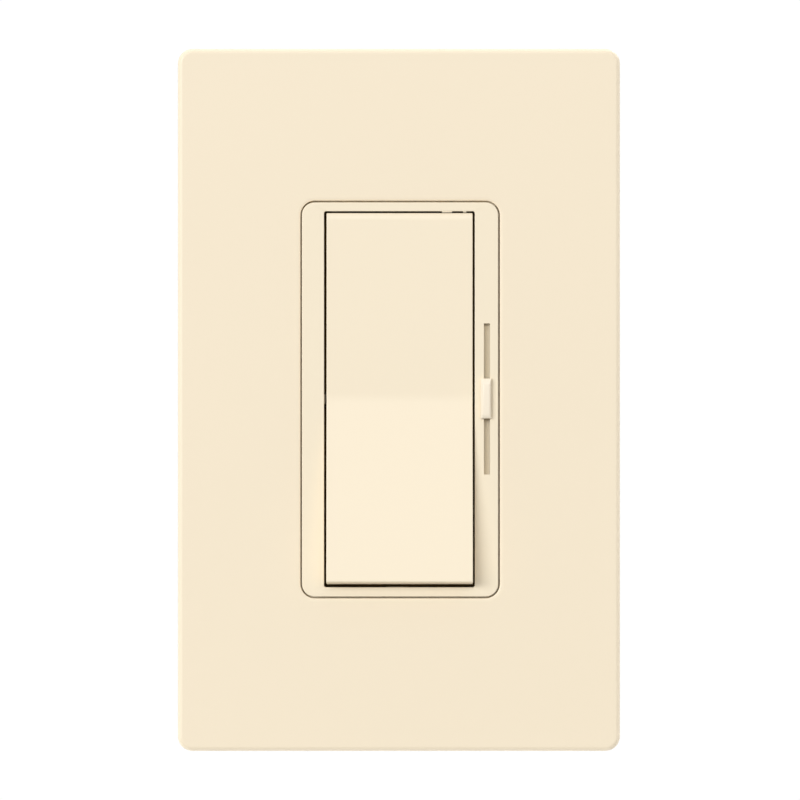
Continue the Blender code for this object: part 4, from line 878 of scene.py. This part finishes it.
def face_line(z):
    """Depth of the paddle's front at height z in the middle pose."""
    slope = tan(LEAN)
    if abs(z) < CREASE_BLEND:
        blended = z * z + CREASE_BLEND * CREASE_BLEND
        return CREASE_Y - slope * blended / (2 * CREASE_BLEND)
    return CREASE_Y - slope * abs(z)


def paddle_outline():
    """The side view as (y, z): along the front from bottom to top, then back down."""
    top_run, top_drop = 1.35, 0.42
    low_run, low_drop = 0.30, 0.40
    longer = 0.05  # the bottom end reaches this much further than the top
    low = []
    for i in range(9):
        angle = pi / 2 * (1 - i / 8)
        z = -HALF - longer + low_run * (1 - sin(angle))
        low.append((face_line(z) + low_drop * (1 - cos(angle)), z))
    # heights of the points on the front, closest together over the crease
    stations = [-30.5, -28, -24, -20, -16, -12, -8, -5, -3]
    stations += [-1.9 + 3.8 * i / 24 for i in range(25)]
    stations += [3, 5, 8, 12, 16, 20, 24, 28]
    front = [(face_line(z), z) for z in stations]
    high = []
    for i in range(13):
        angle = pi / 2 * i / 12
        z = HALF - top_run + top_run * sin(angle)
        high.append((face_line(z) + top_drop * (1 - cos(angle)), z))
    swell_top = [
        (face_line(HALF) + SWELL_BACK * t, HALF + SWELL * sin(pi / 2 * t))
        for t in (0.4, 0.7, 1.0)
    ]
    swell_low = [(y, -z - longer) for y, z in reversed(swell_top)]
    back = [
        (face_line(z) + SKIRT * cos(LEAN), z - SKIRT * sin(LEAN) * z / HALF)
        for z in (HALF, 20, 10, 1.2, 0, -1.2, -10, -20, -HALF)
    ]
    return low + front + high + swell_top + back + swell_low


def draw_paddle(shape):
    """The side view swept from left to right, drawn in a little at both ends to roll the
    edges over."""
    outline = [Vector(point) for point in paddle_outline()]
    count = len(outline)

    def shrunk(inset):
        made = []
        for i, point in enumerate(outline):
            before = (point - outline[i - 1]).normalized()
            after = (outline[(i + 1) % count] - point).normalized()
            way = (before + after).normalized()
            # the outline runs bottom to top along the front, so inwards is always on one side
            made.append(point + Vector((way.y, -way.x)) * inset)
        return made

    radius, steps = 0.16, 5
    left = []
    for i in range(steps + 1):
        angle = pi / 2 * i / steps
        left.append((PADDLE_X0 + radius * (1 - cos(angle)), radius * (1 - sin(angle))))
    right = [(PADDLE_X0 + PADDLE_X1 - x, inset) for x, inset in reversed(left)]
    loft(shape, [[(x, y, z) for y, z in shrunk(inset)] for x, inset in left + right])


def draw_paddle_hollow(shape):
    inner = []
    for i in range(21):
        z = (-1 + 2 * i / 20) * (HALF - SHELL)
        inner.append((CREASE_Y - tan(LEAN) * abs(z) + SHELL, z))
    outline = inner + [(4, inner[-1][1]), (4, inner[0][1])]
    extruded(shape, outline, "X", PADDLE_X0 + SHELL, PADDLE_X1 - SHELL)


def draw_paddle_inside(shape):
    """A trunnion at each side and the post behind the crease."""
    turned(shape, [(1.3, -13.05), (1.3, -10.9)], 32, axis="X")
    turned(shape, [(1.3, 10.8), (1.3, 13.05)], 32, axis="X")
    turned(shape, [(3.0, -4.2), (3.0, 6.3), (2.8, 6.5)], 36)


def draw_paddle_ribs(shape):
    for z in (-16.0, 16.0):
        box(shape, PADDLE_X0 + 0.6, PADDLE_X1 - 0.6, -5.6, -2.2, z - 0.5, z + 0.5)


def draw_paddle_spine(shape):
    box(shape, -0.5, 0.5, -4.6, -2.0, -17, 17)


def draw_post_bore(shape):
    turned(shape, [(1.95, -2.4), (1.95, 8)], 32)


paddle = drawn("paddle_rocker", looks["ivory_paddle"], draw_paddle, **ON_PIVOT)
cut(paddle, draw_paddle_hollow, **ON_PIVOT)
join(paddle, draw_paddle_inside, **ON_PIVOT)
join(paddle, draw_paddle_ribs, **ON_PIVOT)
join(paddle, draw_paddle_spine, **ON_PIVOT)
cut(paddle, draw_post_bore, **ON_PIVOT)
shade_by_angle(paddle.data)
place(paddle, "paddle", "paddle", slot="paddle_ivory")


def draw_spring(shape):
    """The coil between the post's floor and the plunger."""
    per_turn = 24
    count = SPRING_TURNS * per_turn
    points = []
    for i in range(count + 1):
        angle = 2 * pi * i / per_turn
        y = SPRING_FROM + SPRING_LONG * i / count
        points.append((SPRING_RADIUS * cos(angle), y, SPRING_RADIUS * sin(angle)))
    sweep(shape, points, SPRING_WIRE, 12)


spring = drawn(
    "spring_coil", looks["steel_wire"], draw_spring, weld=False, smooth=50, **ON_PIVOT
)
place(spring, "paddle", "plunger_spring", slot="spring_steel")
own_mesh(spring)

# ---- slider knob and carrier ----------------------------------------------------------------------


def draw_knob(shape):
    """A low bar: a long slope at its top, a shorter one below, chamfered sides. A stem with
    a wider head runs from it through the slot."""
    half_h = (knob_high[2] - knob_low[2]) / MM / 2
    half_w = (knob_high[0] - knob_low[0]) / MM / 2
    back, front = BEZEL_FRONT - 0.12, from_middle(knob_low[1], 1) + 0.10

    def ring(x0, x1, z0, z1, y, shift=0.0):
        left, right = x0 + shift + KNOB_X, x1 + shift + KNOB_X
        low, high = z0 + KNOB_Z, z1 + KNOB_Z
        return [(right, y, high), (left, y, high), (left, y, low), (right, y, low)]

    # half width, half height, depth
    stem = ((0.25, 1.0, -5.0), (0.25, 1.0, -6.85), (0.36, 2.9, -6.85), (0.36, 2.9, back))
    # how far the left, right, bottom and top sides are drawn in, depth
    bar = (
        (0, 0.11, 0, 0.06, back),
        (0, 0.11, 0.02, 0.10, front + 0.42),
        (0.24, 0.23, 0.28, 0.46, front + 0.19),
        (0.46, 0.44, 0.86, 1.15, front),
    )
    rings = [ring(-x, x, -z, z, y, shift=SLOT_X - KNOB_X) for x, z, y in stem]
    for left, right, low, high, y in bar:
        rings.append(ring(-half_w + left, half_w - right, -half_h + low, half_h - high, y))
    loft(shape, rings)


knob = drawn("knob", looks["ivory_knob"], draw_knob)
round_edges(knob, width=0.07, segments=2, angle=30)
place(knob, "slider", "slider_knob", slot="knob_ivory")


def draw_carrier(shape):
    outline = rounded(2.2, 2 * CARRIER_HALF, 0.5, steps=6, x=SLOT_X, z=CARRIER_Z)
    extruded(shape, outline, "Y", -6.7, -5.5)


def draw_fork(shape):
    """Two prongs on the carrier's back."""
    for side in (-1, 1):
        z0, z1 = sorted((side * 1.25, side * 2.75))
        box(shape, SLOT_X - 1.0, SLOT_X + 1.0, -6.0, -1.9, CARRIER_Z + z0, CARRIER_Z + z1)


def draw_stem_hole(shape):
    box(shape, SLOT_X - 0.4, SLOT_X + 0.4, -8, -4, CARRIER_Z - 1.15, CARRIER_Z + 1.15)


carrier = drawn("slot_strip", looks["beige_carrier"], draw_carrier)
join(carrier, draw_fork)
cut(carrier, draw_stem_hole)
round_edges(carrier, width=0.08, segments=2, angle=32)
place(carrier, "slider", "slider_carrier", slot="carrier_beige")

# ---- rear case ------------------------------------------------------------------------------------


def draw_case(shape):
    """A box that is open to the front, with a groove round it at the parting line."""
    groove = 0.12
    rings = [
        level(CASE_BACK - CASE_WALL, **CASE_INSIDE),
        level(CASE_FRONT, **CASE_INSIDE),
        level(CASE_FRONT, **CASE, inset=0.1),
        level(CASE_FRONT + 0.1, **CASE),
        level(5.0, **CASE),
        level(5.12, **CASE, inset=groove),
        level(5.5, **CASE, inset=groove),
        level(5.62, **CASE),
    ]
    for inset, rise in quarter(CASE_EDGE, 8):
        rings.append(level(CASE_BACK - CASE_EDGE + rise, **CASE, inset=inset))
    loft(shape, rings)


def draw_posts(shape):
    for x in (-POST_X, POST_X):
        for z in (-POST_Z, POST_Z):
            turned(shape, [(3.1, 0.6), (3.1, CASE_BACK - 1.0)], 32, centre=(x, 0, z))


def draw_case_cuts(shape):
    """Stepped screw holes, notches for the bezel's hooks and the leads' opening."""
    hole = [
        (1.55, -1),
        (1.55, CASE_BACK - 2.4),
        (2.95, CASE_BACK - 2.4),
        (2.95, CASE_BACK - 0.25),
        (3.2, CASE_BACK + 0.01),
        (3.2, 32),
    ]
    for x in (-POST_X, POST_X):
        for z in (-POST_Z, POST_Z):
            turned(shape, hole, 36, centre=(x, 0, z))
    for x in HOOK_X:
        for side in (-1, 1):
            z0, z1 = sorted((side * 31.5, side * 33.6))
            box(shape, x - 3.2, x + 3.2, -1, 1.8, z0, z1)
    extruded(shape, rounded(25.0, 6.4, 2.0, steps=8, z=LEAD_Z), "Y", 26, 32)


def draw_ejector_marks(shape):
    for x, z in ((-12.5, -13.5), (12.5, -13.5), (-7.0, 26.5), (7.0, 26.5)):
        profile = [(2.0, CASE_BACK - 0.12), (2.0, CASE_BACK + 1)]
        turned(shape, profile, 36, centre=(x, 0, z))


def draw_strip_gauge(shape):
    """Moulded strip-length gauge in the back: a shallow groove, without lettering."""
    outline = rounded(11.0, 1.6, 0.7, steps=6, z=-13.5)
    extruded(shape, outline, "Y", CASE_BACK - 0.35, CASE_BACK + 1)


case = drawn("case", looks["case_plastic"], draw_case)
join(case, draw_posts)
cut(case, draw_case_cuts)
cut(case, draw_ejector_marks)
cut(case, draw_strip_gauge)
shade_by_angle(case.data)
place(case, "base", "rear_housing", slot="case_dark")

LABEL = dict(width=32.0, height=26.0, radius=1.2, steps=8, z=7.0)
# middle x and z, width and height of the frames pressed into the label
LABEL_FIELDS = (
    (0, 7.0, 29.6, 23.6),
    (-7.2, 12.6, 12.6, 9.0),
    (7.2, 12.6, 12.6, 9.0),
    (0, 1.4, 27.0, 9.0),
)


def draw_label(shape):
    edge = 0.12
    rings = [level(CASE_BACK + 0.1, **LABEL)]
    for inset, rise in quarter(edge, 3):
        rings.append(level(CASE_BACK + 0.28 - edge + rise, **LABEL, inset=inset))
    loft(shape, rings)


def draw_label_lines(shape):
    """The outlines of empty fields."""
    low, high = CASE_BACK + 0.2, CASE_BACK + 0.2 + 0.3
    for x, z, width, height in LABEL_FIELDS:
        outer = dict(width=width, height=height, radius=0.6, steps=4, x=x, z=z)
        inner = dict(outer, width=width - 0.5, height=height - 0.5, radius=0.4)
        rings = [level(low, **outer), level(high, **outer)]
        rings += [level(high, **inner), level(low, **inner)]
        loft(shape, rings, closed=True)


label = drawn("label", label_foil, draw_label)
cut(label, draw_label_lines)
place(label, "base", "rating_label", slot="label_silver")


def draw_relief(shape):
    """The leads' strain relief: a flange inside the case and a collar out through its back."""
    flange = dict(width=26.6, height=8.0, radius=2.6, steps=8, z=LEAD_Z)
    collar = dict(width=24.4, height=5.8, radius=1.7, steps=8, z=LEAD_Z)
    rings = [level(26.7, **flange), level(27.7, **flange)]
    rings += [level(27.7, **collar), level(31.0, **collar)]
    for inset, rise in quarter(0.6, 5)[1:]:
        rings.append(level(31.0 + rise, **collar, inset=inset))
    loft(shape, rings)


def draw_relief_holes(shape):
    bore, mouth = LEAD_RADIUS + 0.15, LEAD_RADIUS + 0.6
    profile = [(bore, 20), (bore, 31.2), (mouth, 31.62), (mouth, 35)]
    for x in LEAD_X:
        turned(shape, profile, 28, centre=(x, 0, LEAD_Z))


relief = drawn("relief", relief_rubber, draw_relief)
cut(relief, draw_relief_holes)
shade_by_angle(relief.data)
place(relief, "base", "strain_relief", slot="relief_black")

# ---- screws ---------------------------------------------------------------------------------------


def threaded(shape, z_middle, head, shaft, start, tip):
    """A head profile followed by a shaft whose radius follows a helix, down to a blunt tip."""
    sides, per_pitch, depth = 28, 7, 0.26

    def ring(y, radius_at):
        made = []
        for k in range(sides):
            angle, radius = 2 * pi * k / sides, radius_at(y, k)
            made.append((radius * cos(angle), y, z_middle + radius * sin(angle)))
        return made

    def thread_radius(y, k):
        phase = ((y - start) / THREAD_PITCH + k / sides) % 1.0
        crest = 1 - abs(phase * 2 - 1)
        run_in = (y - start) / (0.8 * THREAD_PITCH)
        run_out = (tip - y) / (1.2 * THREAD_PITCH) + 0.1
        fade = max(0.0, min(1.0, run_in, run_out))
        taper = 1.0 - 0.25 * max(0.0, (y - tip + 1.2) / 1.2)
        return (shaft - depth * (1 - crest) * fade) * taper

    rings = [ring(y, lambda _y, _k, radius=radius: radius) for radius, y in head]
    count = int((tip - start) / THREAD_PITCH * per_pitch)
    for i in range(count + 1):
        rings.append(ring(start + (tip - start) * i / count, thread_radius))
    loft(shape, rings)


def dome(radius, rim, under, rise):
    """A pan head from its crown to its underside, as (radius, y)."""
    steps, flat = 7, 0.6
    made = []
    for i in range(steps + 1):
        angle = pi / 2 * (i + flat) / (steps + flat)
        made.append((radius * sin(angle), rim - rise * cos(angle)))
    return made + [(radius, under - 0.12), (radius - 0.12, under)]


# groove is its front, its floor and its half width
BOX_SCREW = dict(
    look=looks["zinc_plate"],
    slot="zinc_steel",
    head=dome(radius=3.05, rim=-2.6, under=-1.6, rise=0.75),
    shaft=1.65,
    start=-1.6,
    tip=17.0,
    groove=(-4.5, -2.25, 0.45),
)
PLATE_SCREW = dict(
    look=screw_enamel,
    slot="screw_ivory",
    head=[(0.9, -3.85), (1.9, -3.74), (2.6, -3.56), (2.85, -3.45), (2.85, -3.3), (1.7, -2.0)],
    shaft=1.6,
    start=-1.9,
    tip=7.5,
    groove=(-4.8, -3.1, 0.4),
)


def slotted_screw(name, node, z, look, slot, groove, **sizes):
    made = drawn(name, look, lambda shape: threaded(shape, z, **sizes), weld=False)
    front, floor, half = groove
    cut(made, lambda shape: box(shape, -4, 4, front, floor, z - half, z + half))
    place(made, "base", node, slot=slot)


for end, side in (("top", 1), ("bottom", -1)):
    name = "box_screw_" + end
    slotted_screw(name + "_fine", name, side * BOX_SCREW_Z, **BOX_SCREW)
    name = "plate_screw_" + end + "_fine"
    slotted_screw(name, "adapter_screw_" + end, side * PLATE_SCREW_Z, **PLATE_SCREW)


def draw_case_screw(shape, x, z):
    profile = [
        (0.9, -0.9),
        (1.3, -0.2),
        (1.3, CASE_BACK - 2.1),
        (2.5, CASE_BACK - 2.1),
        (2.6, CASE_BACK - 2.0),
    ]
    for i in range(9):
        angle = pi / 2 * i / 8
        profile.append((2.6 * cos(angle * 0.9), CASE_BACK - 1.3 + sin(angle)))
    turned(shape, profile, 36, centre=(x, 0, z))


def draw_cross_arm(shape, x, z, outer, inner):
    """One arm of a cross recess; outer and inner are its half sizes along x and z."""
    rings = []
    for y, (half_x, half_z) in ((CASE_BACK + 1, outer), (CASE_BACK - 1.5, inner)):
        corners = ((1, 1), (-1, 1), (-1, -1), (1, -1))
        rings.append([(x + i * half_x, y, z + j * half_z) for i, j in corners])
    loft(shape, rings)


def case_screw(number, x, z):
    name = "case_screw_%d_fine" % number
    made = drawn(name, looks["zinc_plate"], lambda shape: draw_case_screw(shape, x, z))
    for outer, inner in (((0.34, 1.5), (0.26, 0.8)), ((1.5, 0.34), (0.8, 0.26))):
        cut(made, lambda shape: draw_cross_arm(shape, x, z, outer, inner))
    shade_by_angle(made.data, 35)
    place(made, "base", "housing_screw_%d" % number, slot="zinc_steel")


for number, (x, z) in enumerate(POSTS, 1):
    case_screw(number, x, z)

# ---- leads ----------------------------------------------------------------------------------------


def smooth_run(points):
    """A Catmull-Rom curve through the points, ten steps to each stretch."""
    steps = 10
    points = [Vector(point) for point in points]
    last = len(points) - 1
    line = []
    for i in range(last):
        before, here = points[max(i - 1, 0)], points[i]
        ahead, beyond = points[i + 1], points[min(i + 2, last)]
        for k in range(steps):
            t = k / steps
            line.append(
                0.5
                * (
                    2 * here
                    + (ahead - before) * t
                    + (2 * before - 5 * here + 4 * ahead - beyond) * t * t
                    + (3 * here - before - 3 * ahead + beyond) * t * t * t
                )
            )
    line.append(points[-1])
    return line


def draw_sleeve(shape, points):
    """Insulation with a hollow mouth at its far end, where the strands come out."""
    *places, end = carried(points)
    sides = 20
    rings = [
        round_ring(spot, LEAD_RADIUS * (1 + 0.012 * sin(i * 1.7)), sides)
        for i, spot in enumerate(places)
    ]
    # radius and shift along the lead of the rings at the mouth
    for radius, shift in (
        (LEAD_RADIUS, -0.08),
        (LEAD_RADIUS - 0.1, 0.0),
        (LEAD_BORE + 0.05, 0.0),
        (LEAD_BORE, -0.08),
        (LEAD_BORE, -LEAD_MOUTH),
    ):
        rings.append(round_ring(end, radius, sides, shift))
    loft(shape, rings)


def draw_strands(shape, start, way, length):
    """Seven copper strands, six of them twisted round the first."""
    radius, lay, sides = 0.27, 9.0, 10
    out = way.orthogonal().normalized()
    side = way.cross(out)
    sweep(shape, [start + way * (length * i / 6) for i in range(7)], radius, sides)
    for strand in range(6):
        points = []
        for i in range(25):
            along = length * i / 24
            angle = 2 * pi * (strand / 6 + along / lay)
            off = (out * cos(angle) + side * sin(angle)) * radius * 2.04
            points.append(start + way * along + off)
        sweep(shape, points, radius, sides)


def lead(colour_name, colour, run):
    """A sleeve along the run, and bare strands on from its end."""
    name = "lead_" + colour_name
    skin = pvc(name + "_pvc", colour)
    sleeve = drawn(name + "_sleeve", skin, lambda shape: draw_sleeve(shape, run))
    place(sleeve, "base", name, slot="pvc_" + colour_name)
    way = (run[-1] - run[-2]).normalized()
    strands = drawn(
        name + "_strands",
        looks["bare_copper"],
        lambda shape: draw_strands(shape, run[-1] - way * 1.3, way, BARE + 1.2),
        weld=False,
    )
    place(strands, "base", name + "_end", slot="copper")


# colour name, x at the case, sideways drift on the way down, z of the bare end, colour
LEADS = (
    ("black", LEAD_X[0], -2.5, -55.0, linear(30, 30, 31)),
    ("red", LEAD_X[1], 0.5, -53.5, linear(176, 32, 26)),
    ("blue", LEAD_X[2], 2.5, -54.5, linear(34, 70, 150)),
)
for colour_name, x, drift, end, colour in LEADS:
    stations = [
        (x, 22.0, LEAD_Z),
        (x, 27.0, LEAD_Z),
        (x, 32.0, LEAD_Z),
        (x + drift * 0.05, 35.2, LEAD_Z - 1.6),
        (x + drift * 0.2, 36.8, LEAD_Z - 5.4),
        (x + drift * 0.5, 37.0, LEAD_Z - 10.5),
        (x + drift * 0.8, 36.4, LEAD_Z - 16.0),
        (x + drift, 36.2, end + BARE),
    ]
    lead(colour_name, colour, smooth_run(stations))

GROUND_STATIONS = [
    (GROUND_X, 2.2, GROUND_Z - 4.4),
    (GROUND_X, 8.0, GROUND_Z - 4.6),
    (GROUND_X - 0.5, 16.0, GROUND_Z - 2.5),
    (GROUND_X - 1.0, 24.0, GROUND_Z - 3.4),
    (GROUND_X - 1.2, 29.0, GROUND_Z - 7.0),
]
lead("green", linear(38, 128, 62), smooth_run(GROUND_STATIONS))

# ---- pieces that keep the frame's own meshes ------------------------------------------------------

brass, tin, bronze = looks["brass_sheet"], looks["tin_plate"], looks["bronze_strip"]
MATERIALS = {
    "adapter_plate": looks["adapter_plastic"],
    "screw_retainer_top": pressed_fibre,
    "screw_retainer_bottom": pressed_fibre,
    "yoke": yoke_sheet(),
    "circuit_board": board_mask(),
    "switch_base": looks["cream_plastic"],
    "common_terminal": brass,
    "fixed_contact_upper": brass,
    "fixed_contact_lower": brass,
    "pot_housing": looks["can_steel"],
    "pot_element": moulded(
        "track_laminate",
        linear(92, 62, 40),
        roughness=0.5,
        grain_mm=0.4,
        grain=0.12,
        mottled=0.10,
    ),
    "triac_body": moulded(
        "epoxy", linear(34, 34, 36), roughness=0.48, grain_mm=0.25, grain=0.22, mottled=0.08
    ),
    "triac_tab": tin,
    "triac_leg_left": tin,
    "triac_leg_right": tin,
    "thermal_pad": rubbery("pad_rubber", linear(150, 152, 156)),
    "triac_rivet": looks["rivet_metal"],
    "choke_core": ferrite(),
    "choke_winding": enamelled(),
    "film_capacitor": dipped("capacitor_skin", linear(150, 52, 38)),
    "timing_capacitor": dipped("small_capacitor_skin", linear(190, 126, 40)),
    "diac": dipped("diac_bead", linear(44, 86, 150)),
    "resistor_1": banded("resistor_1"),
    "resistor_2": banded("resistor_2"),
    "ground_terminal": tin,
    "ground_rivet": brass,
    "plunger": looks["acetal_plastic"],
    "contact_arm": bronze,
    "contact_button_upper": looks["silver_contact"],
    "contact_button_lower": looks["silver_contact"],
    "pot_lever": looks["black_plastic"],
    "pot_wiper": bronze,
}
for node, look in MATERIALS.items():
    slots = frame["nodes"][node].data.materials
    slots.clear()
    slots.append(look)

EDGE_WIDTHS = {
    "yoke": 0.16,
    "adapter_plate": 0.12,
    "screw_retainer_top": 0.08,
    "screw_retainer_bottom": 0.08,
    "ground_terminal": 0.10,
}
for node, width in EDGE_WIDTHS.items():
    edge_bevel(frame["nodes"][node], width, segments=2, angle=40)

# ---- stage, in metres -----------------------------------------------------------------------------

PAPER_WHITE = 1.02  # what the camera sees of the stage and the world
FLOOR_FRONT, FLOOR_BACK, WALL_GLOW = 0.20, 1.60, 0.55


def stage_look(name):
    """White paper: pure white to the camera, and a glow for the object, dimmer in front of it."""
    made = bpy.data.materials.new(name)
    made.use_nodes = True
    tree = made.node_tree
    tree.nodes.clear()
    link = tree.links.new
    out = new_node(tree, "ShaderNodeOutputMaterial")
    mix = new_node(tree, "ShaderNodeMixShader")
    path = new_node(tree, "ShaderNodeLightPath")
    seen = new_node(tree, "ShaderNodeEmission")
    seen.inputs["Strength"].default_value = PAPER_WHITE
    felt = new_node(tree, "ShaderNodeEmission")
    position = new_node(tree, "ShaderNodeNewGeometry")
    split = new_node(tree, "ShaderNodeSeparateXYZ")
    link(position.outputs["Position"], split.inputs[0])
    depth = split.outputs["Y"]
    fade = map_range(tree, depth, span=(-0.12, 0.05), to=(FLOOR_FRONT, FLOOR_BACK))
    # the paper well behind the object glows less, so that its back is not washed out
    fall = map_range(tree, depth, span=(0.30, 1.30), to=(1.0, WALL_GLOW / FLOOR_BACK))
    link(math_node(tree, "MULTIPLY", fade, fall), felt.inputs["Strength"])
    link(path.outputs["Is Camera Ray"], mix.inputs["Fac"])
    link(felt.outputs[0], mix.inputs[1])
    link(seen.outputs[0], mix.inputs[2])
    link(mix.outputs[0], out.inputs["Surface"])
    return made


def draw_stage():
    """A floor below the object that curves up into a backdrop."""
    half, front, back, floor, radius, top = 3.0, -3.5, 2.2, -0.16, 0.6, 3.0
    line = [(front, floor), (back - radius, floor)]
    for i in range(1, 17):
        angle = pi / 2 * i / 16
        line.append(
            (back - radius + radius * sin(angle), floor + radius * (1 - cos(angle)))
        )
    line.append((back, top))
    shape = bmesh.new()
    rows = [[shape.verts.new((x, y, z)) for x in (-half, half)] for y, z in line]
    for one, other in zip(rows, rows[1:]):
        shape.faces.new((one[0], one[1], other[1], other[0]))
    mesh = bpy.data.meshes.new("sweep_floor")
    shape.to_mesh(mesh)
    shape.free()
    made = bpy.data.objects.new("sweep_floor", mesh)
    mesh.materials.append(stage_look("stage_white"))
    mesh.shade_smooth()
    bpy.context.scene.collection.objects.link(made)
    return made


draw_stage()

# ---- world ----------------------------------------------------------------------------------------

# strengths of the sky in front, at the sides, in the ring and behind; TILT brightens the top
SKY_FRONT, SKY_SIDE, SKY_TILT, SKY_RING, SKY_REAR = 0.88, 0.24, 0.32, 1.27, 0.25
# how the ring's strength grows along each axis, and the least strength of the sky
RING_LEAN = (0.54, 0.0, -0.05)
SKY_LEAST = 0.02


def studio_world():
    """A soft frontal glow, brighter above, and a bright ring round the object's own plane
    for its rims."""
    world = bpy.data.worlds.new("studio")
    bpy.context.scene.world = world
    world.use_nodes = True
    tree = world.node_tree
    background = tree.nodes["Background"]
    background.inputs["Color"].default_value = (1, 1, 1, 1)
    where = new_node(tree, "ShaderNodeTexCoord").outputs["Generated"]
    split = new_node(tree, "ShaderNodeSeparateXYZ")
    tree.links.new(where, split.inputs[0])
    depth = split.outputs["Y"]

    def ease(span, to):
        return map_range(tree, depth, span, to, interpolation="SMOOTHSTEP")

    front = ease(span=(-0.94, -0.5), to=(SKY_FRONT, SKY_SIDE))
    slope = map_range(tree, split.outputs["Z"], span=(-1, 1), to=(-SKY_TILT, SKY_TILT))
    lean = new_node(tree, "ShaderNodeVectorMath", operation="DOT_PRODUCT")
    lean.inputs[1].default_value = RING_LEAN
    tree.links.new(where, lean.inputs[0])
    uneven = math_node(tree, "ADD", lean.outputs["Value"], 1.0)
    ring = math_node(
        tree,
        "MULTIPLY",
        ease(span=(-0.16, 0.08), to=(0.0, 1.0)),
        ease(span=(0.35, 0.75), to=(SKY_RING, SKY_REAR)),
    )
    glow = math_node(tree, "ADD", front, slope)
    total = math_node(tree, "ADD", glow, math_node(tree, "MULTIPLY", ring, uneven))
    kept = math_node(tree, "MAXIMUM", total, SKY_LEAST)
    # the camera itself sees plain white paper in every direction
    eye = new_node(tree, "ShaderNodeLightPath")
    choice = new_node(tree, "ShaderNodeMix", data_type="FLOAT")
    tree.links.new(eye.outputs["Is Camera Ray"], choice.inputs["Factor"])
    tree.links.new(kept, choice.inputs[2])
    choice.inputs[3].default_value = PAPER_WHITE
    tree.links.new(choice.outputs[0], background.inputs["Strength"])


studio_world()

# ---- lights, in metres ----------------------------------------------------------------------------


def lamp(name, offset, width, height, share):
    """An area lamp that adds share of full white to a surface facing it from the object."""
    reach = Vector(offset).length
    data = bpy.data.lights.new(name, "AREA")
    data.shape = "RECTANGLE"
    data.size = width
    data.size_y = height
    data.energy = share * pi * pi * reach * reach
    made = bpy.data.objects.new(name, data)
    target = Vector((CENTRE[0], -0.008, CENTRE[2]))
    made.location = target + Vector(offset)
    made.rotation_euler = (target - made.location).to_track_quat("-Z", "Y").to_euler()
    bpy.context.scene.collection.objects.link(made)


lamp("key", offset=(-2.95, -4.25, 0.96), width=3.1, height=1.6, share=0.547)
lamp("overhead", offset=(0.2, -2.2, 0.80), width=1.8, height=0.5, share=0.13)
lamp("rear", offset=(1.2, 1.7, 1.6), width=0.9, height=0.9, share=0.25)

# ---- camera, in metres ----------------------------------------------------------------------------

# straight on and far away, almost free of perspective; FIELD is the width in view at the
# plate's front
FIELD, DISTANCE, SENSOR_MM = 0.1356, 1.0, 36.0
AIM_X, AIM_Z = 0.00002, 0.00008  # how far the view lies left of and below the bezel's middle

camera = bpy.data.objects.new("camera", bpy.data.cameras.new("camera"))
camera.data.sensor_width = SENSOR_MM
camera.data.lens = SENSOR_MM * DISTANCE / FIELD
camera.location = (CENTRE[0] - AIM_X, cover_low[1] - DISTANCE, CENTRE[2] - AIM_Z)
camera.rotation_euler = (pi / 2, 0, 0)
camera.data.clip_start, camera.data.clip_end = 0.05, 20
bpy.context.scene.collection.objects.link(camera)
bpy.context.scene.camera = camera
bpy.context.scene.view_settings.view_transform = "Standard"
